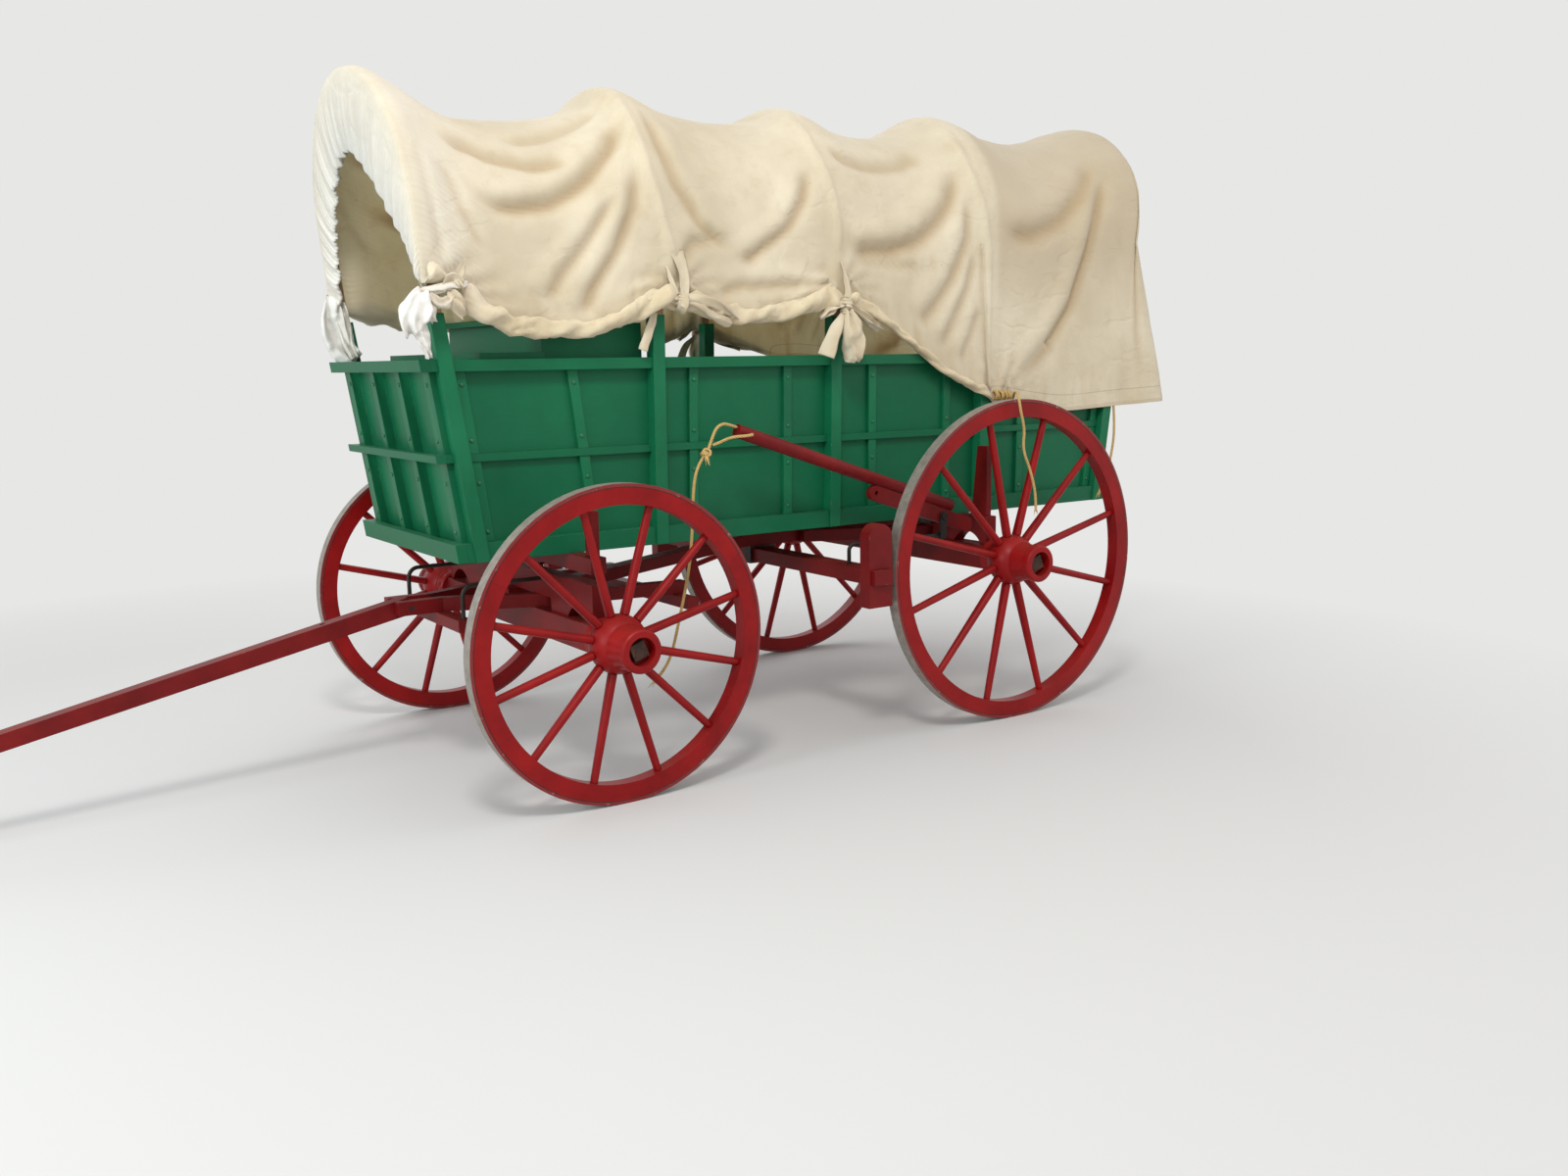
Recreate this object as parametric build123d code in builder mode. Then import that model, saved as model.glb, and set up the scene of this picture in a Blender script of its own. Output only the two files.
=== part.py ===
import os
from math import cos, hypot, pi, radians, sin, tan

from build123d import *

os.makedirs("parts", exist_ok=True)

# Places along the wagon, +X to the front, measured from the middle of its length.
front_axle_x = -121.0
wheelbase = 1873.0
rear_axle_x = front_axle_x - wheelbase
front_wheel_diameter = 1118.0
rear_wheel_diameter = 1346.0
front_axle_z = front_wheel_diameter / 2
rear_axle_z = rear_wheel_diameter / 2

# Wheels.
track_half = 830.0
tyre_width = 54.0
tyre_thickness = 12.0
felloe_depth = 60.0
felloe_chamfer = 11.0
chamfer_stop_angle = 5.0
felloe_count = 6
felloe_joint = 0.4
wood_gap = 0.3
spoke_count = 12
spoke_foot_radius = 22.0
spoke_foot_flat = 0.72
spoke_tip_radius = 14.0
dish = 24.0
hub_inner_reach = 140.0
hub_outer_reach = 150.0
hub_belt_radius = 106.0
hub_belly_half = 64.0
hub_band_radius = 76.0
hub_end_radius = 70.0
hub_edge = 6.0
hub_band_width = 30.0
hub_step = 4.0
hub_groove_width = 10.0
nut_recess_radius = 50.0
nut_recess_depth = 44.0
spindle_radius = 30.0
spindle_clearance = 0.8
nut_size = 58.0
nut_thickness = 22.0
nut_turn = 20.0
collar_radius = 48.0
collar_gap = 1.0
collar_length = 9.0
hub_inner_y = track_half - hub_inner_reach
hub_outer_y = track_half + hub_outer_reach

# Heights of the running gear, from the wheels up to the bed.
beam_width = 92.0
axle_height = 100.0
layer_height = 52.0
front_bolster_height = 85.7
rub_plate_thickness = 8.0
rub_plate_gap = 0.3
rear_bolster_height = 70.0
bolster_end_height = 58.0
front_beam_top = front_axle_z + axle_height / 2
rear_beam_top = rear_axle_z + axle_height / 2
sand_board_low = front_beam_top + layer_height
rear_bolster_low = rear_beam_top + layer_height

# Bed: boards, rails and uprights.
bed_half_width = 462.0
board_thickness = 22.0
bed_height = 692.0
bed_bottom_z = rear_bolster_low + rear_bolster_height
bed_top_z = bed_bottom_z + bed_height
front_bolster_low = bed_bottom_z - front_bolster_height
sand_board_top = front_bolster_low - rub_plate_gap - rub_plate_thickness
sill_height = 66.0
sill_depth = 42.0
mid_rail_rise = 345.0
mid_rail_z = bed_bottom_z + mid_rail_rise
mid_rail_height = 27.0
mid_rail_depth = 20.0
top_rail_height = 40.0
top_rail_depth = 40.0
front_overhang = 540.0
rear_overhang = 1026.0
front_top_x = front_axle_x + front_overhang
rear_top_x = rear_axle_x - rear_overhang
end_rake = 0.143
end_rail_depth = 40.0
gate_batten_depth = 34.0
gate_batten_width = 42.0
gate_batten_ys = (-420.0, -140.0, 140.0, 420.0)
cross_sill_height = 22.0
cross_sill_width = 90.0
stake_width = 50.0
stake_thickness = 50.0
stake_rise = 153.0
stake_top_z = bed_top_z + stake_rise
first_stake_reach = 452.0
first_stake_x = front_axle_x + first_stake_reach
last_stake_inset = 87.0
last_stake_x = rear_top_x + last_stake_inset
stake_spacing = (first_stake_x - last_stake_x) / 4
batten_width = 38.0
batten_thickness = 16.0

# Tailgate and its hinges.
tail_clear = 6.0
tail_batten_depth = 14.0
tail_inset = 4.0
hinge_ys = (-140.0, 140.0)
hinge_width = 36.0
hinge_iron = 5.0
hinge_laid_in = 2.0
hinge_strap_height = 170.0
hinge_barrel_radius = 9.0
hinge_pin_radius = 4.0
hinge_offset = 10.0
hinge_end_gap = 0.5

# Seat box and foot board.
seat_front_x = front_axle_x + 70.0
seat_length = 400.0
seat_rear_x = seat_front_x - seat_length
seat_rise = 147.0
seat_lip = 30.0
seat_gap = 1.0
foot_board_depth = 240.0

# Side battens: name, place at the top rail, place at the sill, from the front axle.
side_batten_rows = (
    ("first", 398.0, 306.0),
    ("a", -22.0, -103.0),
    ("b", -531.0, -513.0),
    ("c", -963.0, -953.0),
    ("d", -1390.0, -1384.0),
    ("e", -1800.0, -1794.0),
    ("f", -2245.0, -2232.0),
    ("last", -2757.0, -2665.0),
)

# Bows and cover, their heights measured up from the top rail.
bow_half_width = stake_thickness + bed_half_width
bow_thickness = 16.0
bow_width = 38.0
canvas_gap = 0.4
canvas_thickness = 5.0
canvas_seat_margin = 1.0
bow_foot_allowance = 20.0
# Bow rows: name, stake number, stake lean forward per unit of height, bow lean, crown, hem.
bow_rows = (
    ("front", 0, end_rake, 0.1, 993.0, 201.0),
    ("second", 1, -0.01, -0.01, 1016.0, 167.0),
    ("third", 2, -0.02, -0.02, 1012.0, 185.0),
    ("fourth", 3, -0.02, -0.02, 1047.0, -185.0),
    ("rear", 4, -end_rake, -0.17, 1069.0, -241.0),
)
# Cover rows: place from the front axle, lean, half width, spring, crown, hem.
cover_mid_rows = (
    ("front_rim", 590.0, 0.0, 372.0, 368.0, 743.0, 205.0),
    ("first_sag", 45.0, 0.0, 508.0, 403.0, 875.0, 65.0),
    ("second_sag", -770.0, 0.0, 508.0, 413.0, 925.0, 113.0),
    ("third_sag", -1586.0, 0.0, 512.0, 413.0, 929.0, 8.0),
    ("fourth_sag", -2420.0, -0.05, 520.0, 423.0, 971.0, -245.0),
    ("rear_edge", -3075.0, 0.06, 524.0, 448.0, 1023.0, -231.0),
)

# Running gear.
bolster_width = 60.0
bolster_centre_half = 150.0
bolster_taper_half = 270.0
beam_end_gap = 10.0
beam_end_y = hub_inner_y - beam_end_gap
bolster_half_length = beam_end_y
foot_length = 30.0
foot_arch_length = 173.0
foot_pad_length = 140.0
rub_plate_length = 300.0
reach_width = 76.0
reach_height = 50.0
reach_tail = 240.0
reach_level_margin = 35.0
rear_hound_length = 560.0
rear_hound_tail = 120.0
rear_hound_side_room = 33.0
kingpin_radius = 12.0
kingpin_clearance = 0.6
pin_fit = 0.1
kingpin_tail = 30.0
bolster_stake_width = 26.0
bolster_stake_depth = 60.0
bolster_stake_inset = 14.0
front_bolster_stake_rise = 163.0
rear_bolster_stake_rise = 300.0
rear_stake_foot_spread = 34.0
hound_width = 44.0
foot_inner_y = bolster_half_length - foot_length - foot_arch_length - foot_pad_length
rear_hound_spread = foot_inner_y - rear_hound_side_room - hound_width
sway_bar_height = 44.0
sway_bar_width = 52.0
sway_bar_half_length = 430.0
front_bar_reach = 352.0
front_bar_x = front_axle_x + front_bar_reach
front_bar_half_length = 300.0
brace_radius = 8.0
brace_rise = 121.0
brace_bend = 40.0
pin_clearance = 0.6
pin_fit = 0.1

# Tongue.
tongue_pin_reach = 470.0
tongue_pin_x = front_axle_x + tongue_pin_reach
tongue_length = 2860.0
tongue_root_height = 66.0
tongue_tip_height = 46.0
tongue_tip_lip = 10.0
tongue_width = 62.0
tongue_pin_radius = 9.0
hammer_hole_radius = 9.5
hammer_hole_reach = 300.0

# Brake: a pole bolted along an arm that turns on a bracket under the side sill.
brake_side_gap = 190.0
brake_y = bed_half_width + brake_side_gap
brake_pole_radius = 26.0
brake_pole_length = 1120.0
brake_pole_tail = 40.0
brake_pole_angle = 18.6
brake_pole_seat = 3.0
brake_arm_height = 62.0
brake_arm_thickness = 30.0
brake_arm_front = 372.0
brake_arm_rear = 145.0
brake_arm_hole_radius = 9.0
brake_pivot_x = rear_axle_x + 263.0
brake_pivot_z = bed_bottom_z + 22.0
brake_pivot_radius = 14.0
brake_pull_angle = 10.0
brake_travel = 14.0
crank_thickness = 10.0
crank_width = 34.0
crank_pin_radius = 8.0
rod_radius = 8.0
rod_eye_radius = 20.0
rod_eye_gap = 2.5
rod_eye_side_gap = 4.0
rod_eye_thickness = 12.0
bracket_thickness = 12.0
bracket_width = 46.0
bracket_gap = 6.0
brake_beam_width = 90.0
brake_beam_height = 58.0
brake_beam_drop = 12.0
brake_beam_reach = 50.0
shoe_gap = 20.0
slide_gap = 0.3
shoe_width = 58.0
shoe_thickness = 114.0
shoe_wall = 12.0
shoe_fall = 111.0
shoe_rise = 217.0
stirrup_iron = 8.0
stirrup_width = 50.0
stirrup_end_gap = 5.0

# Ropes: places from the front axle, chosen along each rope's own hang.
rope_radius = 6.0
lever_rope_points = (
    (-607.1, 652.0, 1274.2),
    (-582.5, 652.0, 1282.5),
    (-545.0, 652.0, 1292.0),
    (-513.0, 652.0, 1275.0),
    (-496.0, 650.0, 1236.0),
    (-478.0, 648.0, 1192.0),
    (-441.0, 646.0, 1149.0),
    (-420.0, 644.0, 1094.0),
    (-411.0, 643.0, 1000.0),
    (-407.0, 642.0, 900.0),
    (-391.0, 641.0, 770.0),
    (-362.0, 640.0, 650.0),
    (-336.0, 640.0, 555.0),
    (-310.0, 641.0, 465.0),
    (-277.0, 642.0, 402.0),
    (-228.0, 643.0, 358.0),
)
lever_loop_points = (
    (-648.0, 678.4, 1248.0),
    (-648.0, 696.5, 1248.0),
    (-632.0, 702.0, 1246.0),
    (-605.0, 695.0, 1244.0),
    (-581.0, 673.0, 1242.0),
    (-556.0, 656.0, 1234.0),
    (-523.0, 652.0, 1220.0),
    (-497.5, 650.0, 1213.6),
)
lashing_rope_points = (
    (-2140.0, 519.9, 1345.0),
    (-2136.0, 534.0, 1344.0),
    (-2118.0, 551.0, 1343.0),
    (-2084.0, 585.0, 1342.0),
    (-2022.0, 650.0, 1343.0),
    (-1950.0, 728.0, 1352.0),
    (-1896.0, 786.0, 1371.0),
    (-1848.0, 850.0, 1379.0),
    (-1826.0, 882.0, 1364.0),
    (-1816.0, 900.0, 1334.0),
    (-1822.0, 903.0, 1294.0),
    (-1840.0, 899.0, 1252.0),
    (-1853.0, 893.0, 1208.0),
    (-1851.0, 889.0, 1166.0),
    (-1861.0, 887.0, 1122.0),
    (-1884.0, 885.0, 1082.0),
    (-1907.0, 883.0, 1034.0),
    (-1925.0, 882.0, 985.0),
    (-1936.0, 881.0, 936.0),
    (-1938.0, 881.0, 890.0),
)
rear_rope_points = (
    (-2811.0, 516.5, 1296.2),
    (-2812.0, 521.0, 1246.0),
    (-2808.0, 528.0, 1180.0),
    (-2803.0, 530.0, 1120.0),
    (-2791.0, 530.0, 1062.0),
    (-2780.0, 531.0, 1020.0),
    (-2755.0, 531.0, 965.0),
    (-2732.0, 532.0, 923.0),
    (-2710.0, 532.0, 880.0),
)


def lean_plane(x, z, lean):
    run = hypot(1.0, lean)
    return Plane(
        origin=(x, 0, z),
        x_dir=(0, 1, 0),
        z_dir=(1 / run, 0, -lean / run),
    )


def front_x(z):
    return front_top_x - end_rake * (bed_top_z - z)


def rear_x(z):
    return rear_top_x + end_rake * (bed_top_z - z)


def slanted_box(x_back, x_fore, z_low, z_high, y_low, y_high):
    # x_back and x_fore give the X of a face at a height.
    corners = [
        (x_back(z_low), z_low),
        (x_fore(z_low), z_low),
        (x_fore(z_high), z_high),
        (x_back(z_high), z_high),
    ]
    with BuildSketch(Plane.XZ.offset(-y_low)) as outline:
        Polygon(*corners, align=None)
    extrude(outline.sketch, amount=-(y_high - y_low))


def block(x_low, x_high, y_low, y_high, z_low, z_high, mode=Mode.ADD):
    with BuildSketch(Plane.XY.offset(z_low)) as outline:
        with Locations(((x_low + x_high) / 2, (y_low + y_high) / 2)):
            Rectangle(x_high - x_low, y_high - y_low)
    extrude(outline.sketch, amount=z_high - z_low, mode=mode)


def save(part, name):
    part.label = name
    export_step(part, "parts/" + name + ".step")
    print(name, "solids", len(part.solids()), "volume", round(part.volume))


def mirrored(part):
    return mirror(part, about=Plane.XZ)


print("bed")
# Side boards.
side_outer = bed_half_width
side_inner = bed_half_width - board_thickness
with BuildPart() as left_board:
    slanted_box(
        lambda z: rear_x(z) + end_rail_depth,
        lambda z: front_x(z) - end_rail_depth,
        bed_bottom_z,
        bed_top_z,
        side_inner,
        side_outer,
    )
with BuildPart() as side_boards:
    add(left_board.part)
    add(mirrored(left_board.part))
save(side_boards.part, "side_boards")

# Rails along the sides, their ends against the end rails.
rail_rows = (
    ("sill", bed_bottom_z, bed_bottom_z + sill_height, sill_depth),
    ("middle", mid_rail_z, mid_rail_z + mid_rail_height, mid_rail_depth),
    ("top", bed_top_z - top_rail_height, bed_top_z, top_rail_depth),
)
with BuildPart() as left_rails:
    for rail_name, rail_low, rail_high, rail_depth in rail_rows:
        slanted_box(
            lambda z: rear_x(z) + end_rail_depth,
            lambda z: front_x(z) - end_rail_depth,
            rail_low,
            rail_high,
            side_outer,
            side_outer + rail_depth,
        )
with BuildPart() as side_rails:
    add(left_rails.part)
    add(mirrored(left_rails.part))
save(side_rails.part, "side_rails")

# Rails across the front, wrapping the corners, and the sill across the rear.
with BuildPart() as end_rails:
    for rail_name, rail_low, rail_high, rail_depth in rail_rows:
        slanted_box(
            lambda z: front_x(z) - end_rail_depth,
            front_x,
            rail_low,
            rail_high,
            -(side_outer + rail_depth),
            side_outer + rail_depth,
        )
    slanted_box(
        rear_x,
        lambda z: rear_x(z) + end_rail_depth,
        bed_bottom_z,
        bed_bottom_z + sill_height,
        -(side_outer + sill_depth),
        side_outer + sill_depth,
    )
save(end_rails.part, "end_rails")

# Floor boards on their cross sills, in two lengths that meet behind the seat.
floor_low = bed_bottom_z + cross_sill_height
floor_high = floor_low + board_thickness
floor_joint_x = seat_rear_x - seat_gap
with BuildPart() as bed_floor:
    slanted_box(
        lambda z: rear_x(z) + end_rail_depth,
        lambda z: floor_joint_x - wood_gap,
        floor_low,
        floor_high,
        -side_inner,
        side_inner,
    )
    slanted_box(
        lambda z: floor_joint_x,
        lambda z: front_x(z) - end_rail_depth,
        floor_low,
        floor_high,
        -side_inner,
        side_inner,
    )
save(bed_floor.part, "bed_floor")

# Cross sills at both axles, at the floor joint and evenly between them.
cross_sill_xs = [
    front_axle_x,
    floor_joint_x,
    (floor_joint_x + rear_axle_x) / 2 + wheelbase / 8,
    (floor_joint_x + rear_axle_x) / 2 - wheelbase / 8,
    rear_axle_x,
    (rear_axle_x + rear_top_x) / 2,
]
with BuildPart() as cross_sills:
    for sill_x in cross_sill_xs:
        block(
            sill_x - cross_sill_width / 2,
            sill_x + cross_sill_width / 2,
            -side_inner,
            side_inner,
            bed_bottom_z,
            floor_low,
        )
save(cross_sills.part, "cross_sills")

# Front gate: boards set back behind upright battens.
gate_back = end_rail_depth + gate_batten_depth + board_thickness
with BuildPart() as front_gate:
    slanted_box(
        lambda z: front_x(z) - gate_back,
        lambda z: front_x(z) - gate_back + board_thickness,
        floor_high,
        bed_top_z,
        -side_inner,
        side_inner,
    )
    for batten_y in gate_batten_ys:
        slanted_box(
            lambda z: front_x(z) - end_rail_depth - gate_batten_depth,
            lambda z: front_x(z) - end_rail_depth,
            floor_high,
            bed_top_z,
            max(batten_y - gate_batten_width / 2, -side_inner),
            min(batten_y + gate_batten_width / 2, side_inner),
        )
save(front_gate.part, "front_gate")

# Tailgate over the rear sill: a board behind battens and two rails.
sill_top_z = bed_bottom_z + sill_height
tailgate_low = sill_top_z + tail_clear
tailgate_half = side_inner - tail_clear
with BuildPart() as tailgate:
    slanted_box(
        lambda z: rear_x(z) + tail_inset + tail_batten_depth,
        lambda z: rear_x(z) + tail_inset + tail_batten_depth + board_thickness,
        tailgate_low,
        bed_top_z,
        -tailgate_half,
        tailgate_half,
    )
    for batten_y in gate_batten_ys:
        y_low = max(batten_y - gate_batten_width / 2, -tailgate_half)
        y_high = min(batten_y + gate_batten_width / 2, tailgate_half)
        slanted_box(
            lambda z: rear_x(z) + tail_inset,
            lambda z: rear_x(z) + tail_inset + tail_batten_depth,
            tailgate_low,
            bed_top_z,
            y_low,
            y_high,
        )
    for rail_low, rail_high in (
        (mid_rail_z, mid_rail_z + mid_rail_height),
        (bed_top_z - top_rail_height, bed_top_z),
    ):
        slanted_box(
            lambda z: rear_x(z) + tail_inset,
            lambda z: rear_x(z) + tail_inset + tail_batten_depth,
            rail_low,
            rail_high,
            -tailgate_half,
            tailgate_half,
        )
save(tailgate.part, "tailgate")

# Two strap hinges: a knuckle on each gate strap between two on the sill strap.
hinge_z = sill_top_z + tail_clear / 2
hinge_x = rear_x(hinge_z) - hinge_offset


def knuckle(hinge_y, y_low, y_high, radius, mode=Mode.ADD):
    with BuildSketch(
        Plane(origin=(hinge_x, hinge_y + y_low, hinge_z), z_dir=(0, 1, 0))
    ) as ring:
        Circle(radius)
    extrude(ring.sketch, amount=y_high - y_low, mode=mode)


hinge_half = hinge_width / 2
with BuildPart() as tailgate_straps:
    for hinge_y in hinge_ys:
        slanted_box(
            lambda z: rear_x(z) + tail_inset - hinge_iron - hinge_laid_in,
            lambda z: rear_x(z) + tail_inset,
            hinge_z,
            hinge_z + hinge_strap_height,
            hinge_y - hinge_half,
            hinge_y + hinge_half,
        )
        knuckle(hinge_y, -hinge_half, hinge_half, hinge_barrel_radius)
        knuckle(
            hinge_y,
            -hinge_half,
            hinge_half,
            hinge_pin_radius + pin_clearance,
            Mode.SUBTRACT,
        )
save(tailgate_straps.part, "tailgate_straps")
with BuildPart() as sill_straps:
    for hinge_y in hinge_ys:
        for side_low in (-2 * hinge_half, hinge_half + hinge_end_gap):
            slanted_box(
                lambda z: rear_x(z) - hinge_iron,
                rear_x,
                bed_bottom_z + board_thickness,
                hinge_z,
                hinge_y + side_low,
                hinge_y + side_low + hinge_half - hinge_end_gap,
            )
            knuckle(
                hinge_y,
                side_low,
                side_low + hinge_half - hinge_end_gap,
                hinge_barrel_radius,
            )
        knuckle(hinge_y, -hinge_width, hinge_width, hinge_pin_radius)
save(sill_straps.part, "sill_straps")

# Stakes outside the boards, notched over the rails, up to the feet of the bows.
with BuildPart() as left_stakes:
    for bow_name, number, stake_lean, bow_lean, crown_rise, hem_rise in bow_rows:
        stake_x = first_stake_x - number * stake_spacing
        half_run = stake_width / 2 * hypot(1.0, stake_lean)
        slanted_box(
            lambda z: stake_x + stake_lean * (z - bed_top_z) - half_run,
            lambda z: stake_x + stake_lean * (z - bed_top_z) + half_run,
            bed_bottom_z,
            stake_top_z,
            side_outer,
            side_outer + stake_thickness,
        )
    add(left_rails.part, mode=Mode.SUBTRACT)
with BuildPart() as stakes:
    add(left_stakes.part)
    add(mirrored(left_stakes.part))
save(stakes.part, "stakes")

# Battens on the side boards, in the panels between the rails.
batten_spans = (
    (bed_bottom_z + sill_height, mid_rail_z),
    (mid_rail_z + mid_rail_height, bed_top_z - top_rail_height),
)
with BuildPart() as left_battens:
    for batten_name, top_x, foot_x in side_batten_rows:
        slope = (top_x - foot_x) / (bed_top_z - bed_bottom_z)

        def batten_x(z, slope=slope, top_x=top_x):
            return front_axle_x + top_x - slope * (bed_top_z - z)

        for span_low, span_high in batten_spans:
            slanted_box(
                lambda z: batten_x(z) - batten_width / 2,
                lambda z: batten_x(z) + batten_width / 2,
                span_low,
                span_high,
                side_outer,
                side_outer + batten_thickness,
            )
with BuildPart() as side_battens:
    add(left_battens.part)
    add(mirrored(left_battens.part))
save(side_battens.part, "side_battens")

# Seat box across the bed behind the front gate, with a foot board before it.
seat_top_z = bed_top_z + seat_rise
with BuildPart() as seat_box:
    block(
        seat_rear_x,
        seat_front_x,
        -(side_inner - seat_gap),
        side_inner - seat_gap,
        floor_high,
        seat_top_z - board_thickness,
    )
    block(
        seat_rear_x + board_thickness,
        seat_front_x - board_thickness,
        -(side_inner - seat_gap) + board_thickness,
        side_inner - seat_gap - board_thickness,
        floor_high,
        seat_top_z - board_thickness,
        mode=Mode.SUBTRACT,
    )
    block(
        seat_rear_x,
        seat_front_x + seat_lip,
        -(side_inner - seat_gap),
        side_inner - seat_gap,
        seat_top_z - board_thickness,
        seat_top_z,
    )
    block(
        seat_front_x + seat_gap,
        seat_front_x + foot_board_depth,
        -side_outer,
        side_outer,
        bed_top_z,
        bed_top_z + board_thickness,
    )
save(seat_box.part, "seat_box")

print("bows and cover")


def arch(half_width, spring_v, crown_v, foot_v, thickness):
    inner = half_width - thickness
    top = crown_v - thickness
    with BuildSketch(Plane.XY) as ring:
        with BuildLine():
            Line((half_width, foot_v), (half_width, spring_v))
            ThreePointArc(
                (half_width, spring_v), (0, crown_v), (-half_width, spring_v)
            )
            Line((-half_width, spring_v), (-half_width, foot_v))
            Line((-half_width, foot_v), (-inner, foot_v))
            Line((-inner, foot_v), (-inner, spring_v))
            ThreePointArc((-inner, spring_v), (0, top), (inner, spring_v))
            Line((inner, spring_v), (inner, foot_v))
            Line((inner, foot_v), (half_width, foot_v))
        make_face()
    return ring.sketch


def bow_foot_x(number, stake_lean):
    stake_x = first_stake_x - number * stake_spacing
    return stake_x + stake_lean * (stake_top_z - bed_top_z)


# Each bow stands on its two stakes, its feet cut level.
with BuildPart() as bows:
    for bow_name, number, stake_lean, bow_lean, crown_rise, hem_rise in bow_rows:
        run = hypot(1.0, bow_lean)
        crown = bed_top_z + crown_rise
        foot_x = bow_foot_x(number, stake_lean)
        with BuildSketch(lean_plane(foot_x, stake_top_z, bow_lean)):
            add(
                arch(
                    bow_half_width,
                    (crown - bow_half_width - stake_top_z) * run,
                    (crown - stake_top_z) * run,
                    -bow_foot_allowance,
                    bow_thickness,
                )
            )
        extrude(amount=bow_width / 2 * run, dir=(1, 0, 0), both=True)
    block(
        rear_top_x,
        front_top_x,
        -2 * bow_half_width,
        2 * bow_half_width,
        bed_top_z,
        stake_top_z,
        mode=Mode.SUBTRACT,
    )
save(bows.part, "bows")

# The canvas lies flat over the width of each bow and sags between them.
canvas_half = bow_half_width + canvas_gap + canvas_thickness
canvas_seat = bow_width / 2 + canvas_seat_margin
cover_stations = []
for bow_name, number, stake_lean, bow_lean, crown_rise, hem_rise in bow_rows:
    run = hypot(1.0, bow_lean)
    crown = bed_top_z + crown_rise
    rise = crown + canvas_gap + canvas_thickness
    for side in (canvas_seat * run, -canvas_seat * run):
        station_x = bow_foot_x(number, stake_lean) + side
        spring = crown - bow_half_width
        row = (station_x, bow_lean, canvas_half, spring, rise, bed_top_z + hem_rise)
        cover_stations.append(row)
for row_name, place, lean, half_width, *rises in cover_mid_rows:
    heights = [bed_top_z + rise for rise in rises]
    cover_stations.append((front_axle_x + place, lean, half_width, *heights))
cover_stations.sort(key=lambda row: -row[0])
with BuildPart() as cover:
    for station_x, lean, half_width, spring_z, crown, hem in cover_stations:
        run = hypot(1.0, lean)
        with BuildSketch(lean_plane(station_x, stake_top_z, lean)):
            add(
                arch(
                    half_width,
                    (spring_z - stake_top_z) * run,
                    (crown - stake_top_z) * run,
                    (hem - stake_top_z) * run,
                    canvas_thickness,
                )
            )
    loft(ruled=True)
save(cover.part, "cover")

print("running gear")


def axle_beam(x, z):
    block(
        x - beam_width / 2,
        x + beam_width / 2,
        -beam_end_y,
        beam_end_y,
        z - axle_height / 2,
        z + axle_height / 2,
    )


def axle_arm(x, z):
    # Collar, spindle and square nut outside the hub.
    nut_start = hub_outer_y - nut_recess_depth + collar_gap
    with BuildSketch(Plane(origin=(x, beam_end_y, z), z_dir=(0, 1, 0))) as collar:
        Circle(collar_radius)
    extrude(collar.sketch, amount=collar_length)
    with BuildSketch(Plane(origin=(x, beam_end_y, z), z_dir=(0, 1, 0))) as arm:
        Circle(spindle_radius)
    extrude(arm.sketch, amount=nut_start - beam_end_y)
    with BuildSketch(Plane(origin=(x, nut_start, z), z_dir=(0, 1, 0))) as nut:
        Rectangle(nut_size, nut_size, rotation=nut_turn)
    extrude(nut.sketch, amount=nut_thickness)


def footed_board(x, foot_z, low_z, top_z):
    # A board over an axle beam, with an arch between its end foot and a pad on each side.
    arch_end = bolster_half_length - foot_length
    arch_start = arch_end - foot_arch_length
    pad_start = foot_inner_y
    with BuildSketch(Plane.YZ.offset(x - bolster_width / 2)) as outline:
        with BuildLine():
            Polyline(
                (-pad_start, low_z),
                (-pad_start, foot_z),
                (-arch_start, foot_z),
            )
            ThreePointArc(
                (-arch_start, foot_z),
                (-(arch_start + arch_end) / 2, low_z),
                (-arch_end, foot_z),
            )
            Polyline(
                (-arch_end, foot_z),
                (-bolster_half_length, foot_z),
                (-bolster_half_length, top_z),
                (bolster_half_length, top_z),
                (bolster_half_length, foot_z),
                (arch_end, foot_z),
            )
            ThreePointArc(
                (arch_end, foot_z),
                ((arch_start + arch_end) / 2, low_z),
                (arch_start, foot_z),
            )
            Polyline(
                (arch_start, foot_z),
                (pad_start, foot_z),
                (pad_start, low_z),
                (-pad_start, low_z),
            )
        make_face()
    extrude(outline.sketch, amount=bolster_width)


def kingpin_hole(z_low, z_high):
    with BuildSketch(Plane.XY.offset(z_low)) as hole:
        with Locations((front_axle_x, 0)):
            Circle(kingpin_radius + kingpin_clearance)
    extrude(hole.sketch, amount=z_high - z_low, mode=Mode.SUBTRACT)


# Front axle: a beam with an iron arm at each end, the sand board on it.
front_beam_low = front_beam_top - axle_height
with BuildPart() as front_axle:
    axle_beam(front_axle_x, front_axle_z)
    kingpin_hole(front_beam_low, front_beam_top)
save(front_axle.part, "front_axle")
with BuildPart() as left_front_arm:
    axle_arm(front_axle_x, front_axle_z)
with BuildPart() as front_axle_arms:
    add(left_front_arm.part)
    add(mirrored(left_front_arm.part))
save(front_axle_arms.part, "front_axle_arms")

with BuildPart() as sand_board:
    footed_board(front_axle_x, front_beam_top, sand_board_low, sand_board_top)
    kingpin_hole(sand_board_low, sand_board_top)
save(sand_board.part, "sand_board")
with BuildPart() as rub_plate:
    with BuildSketch(Plane.XY.offset(sand_board_top)):
        with Locations((front_axle_x, 0)):
            Rectangle(bolster_width, rub_plate_length)
            Circle(kingpin_radius + kingpin_clearance, mode=Mode.SUBTRACT)
    extrude(amount=rub_plate_thickness)
save(rub_plate.part, "rub_plate")

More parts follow.
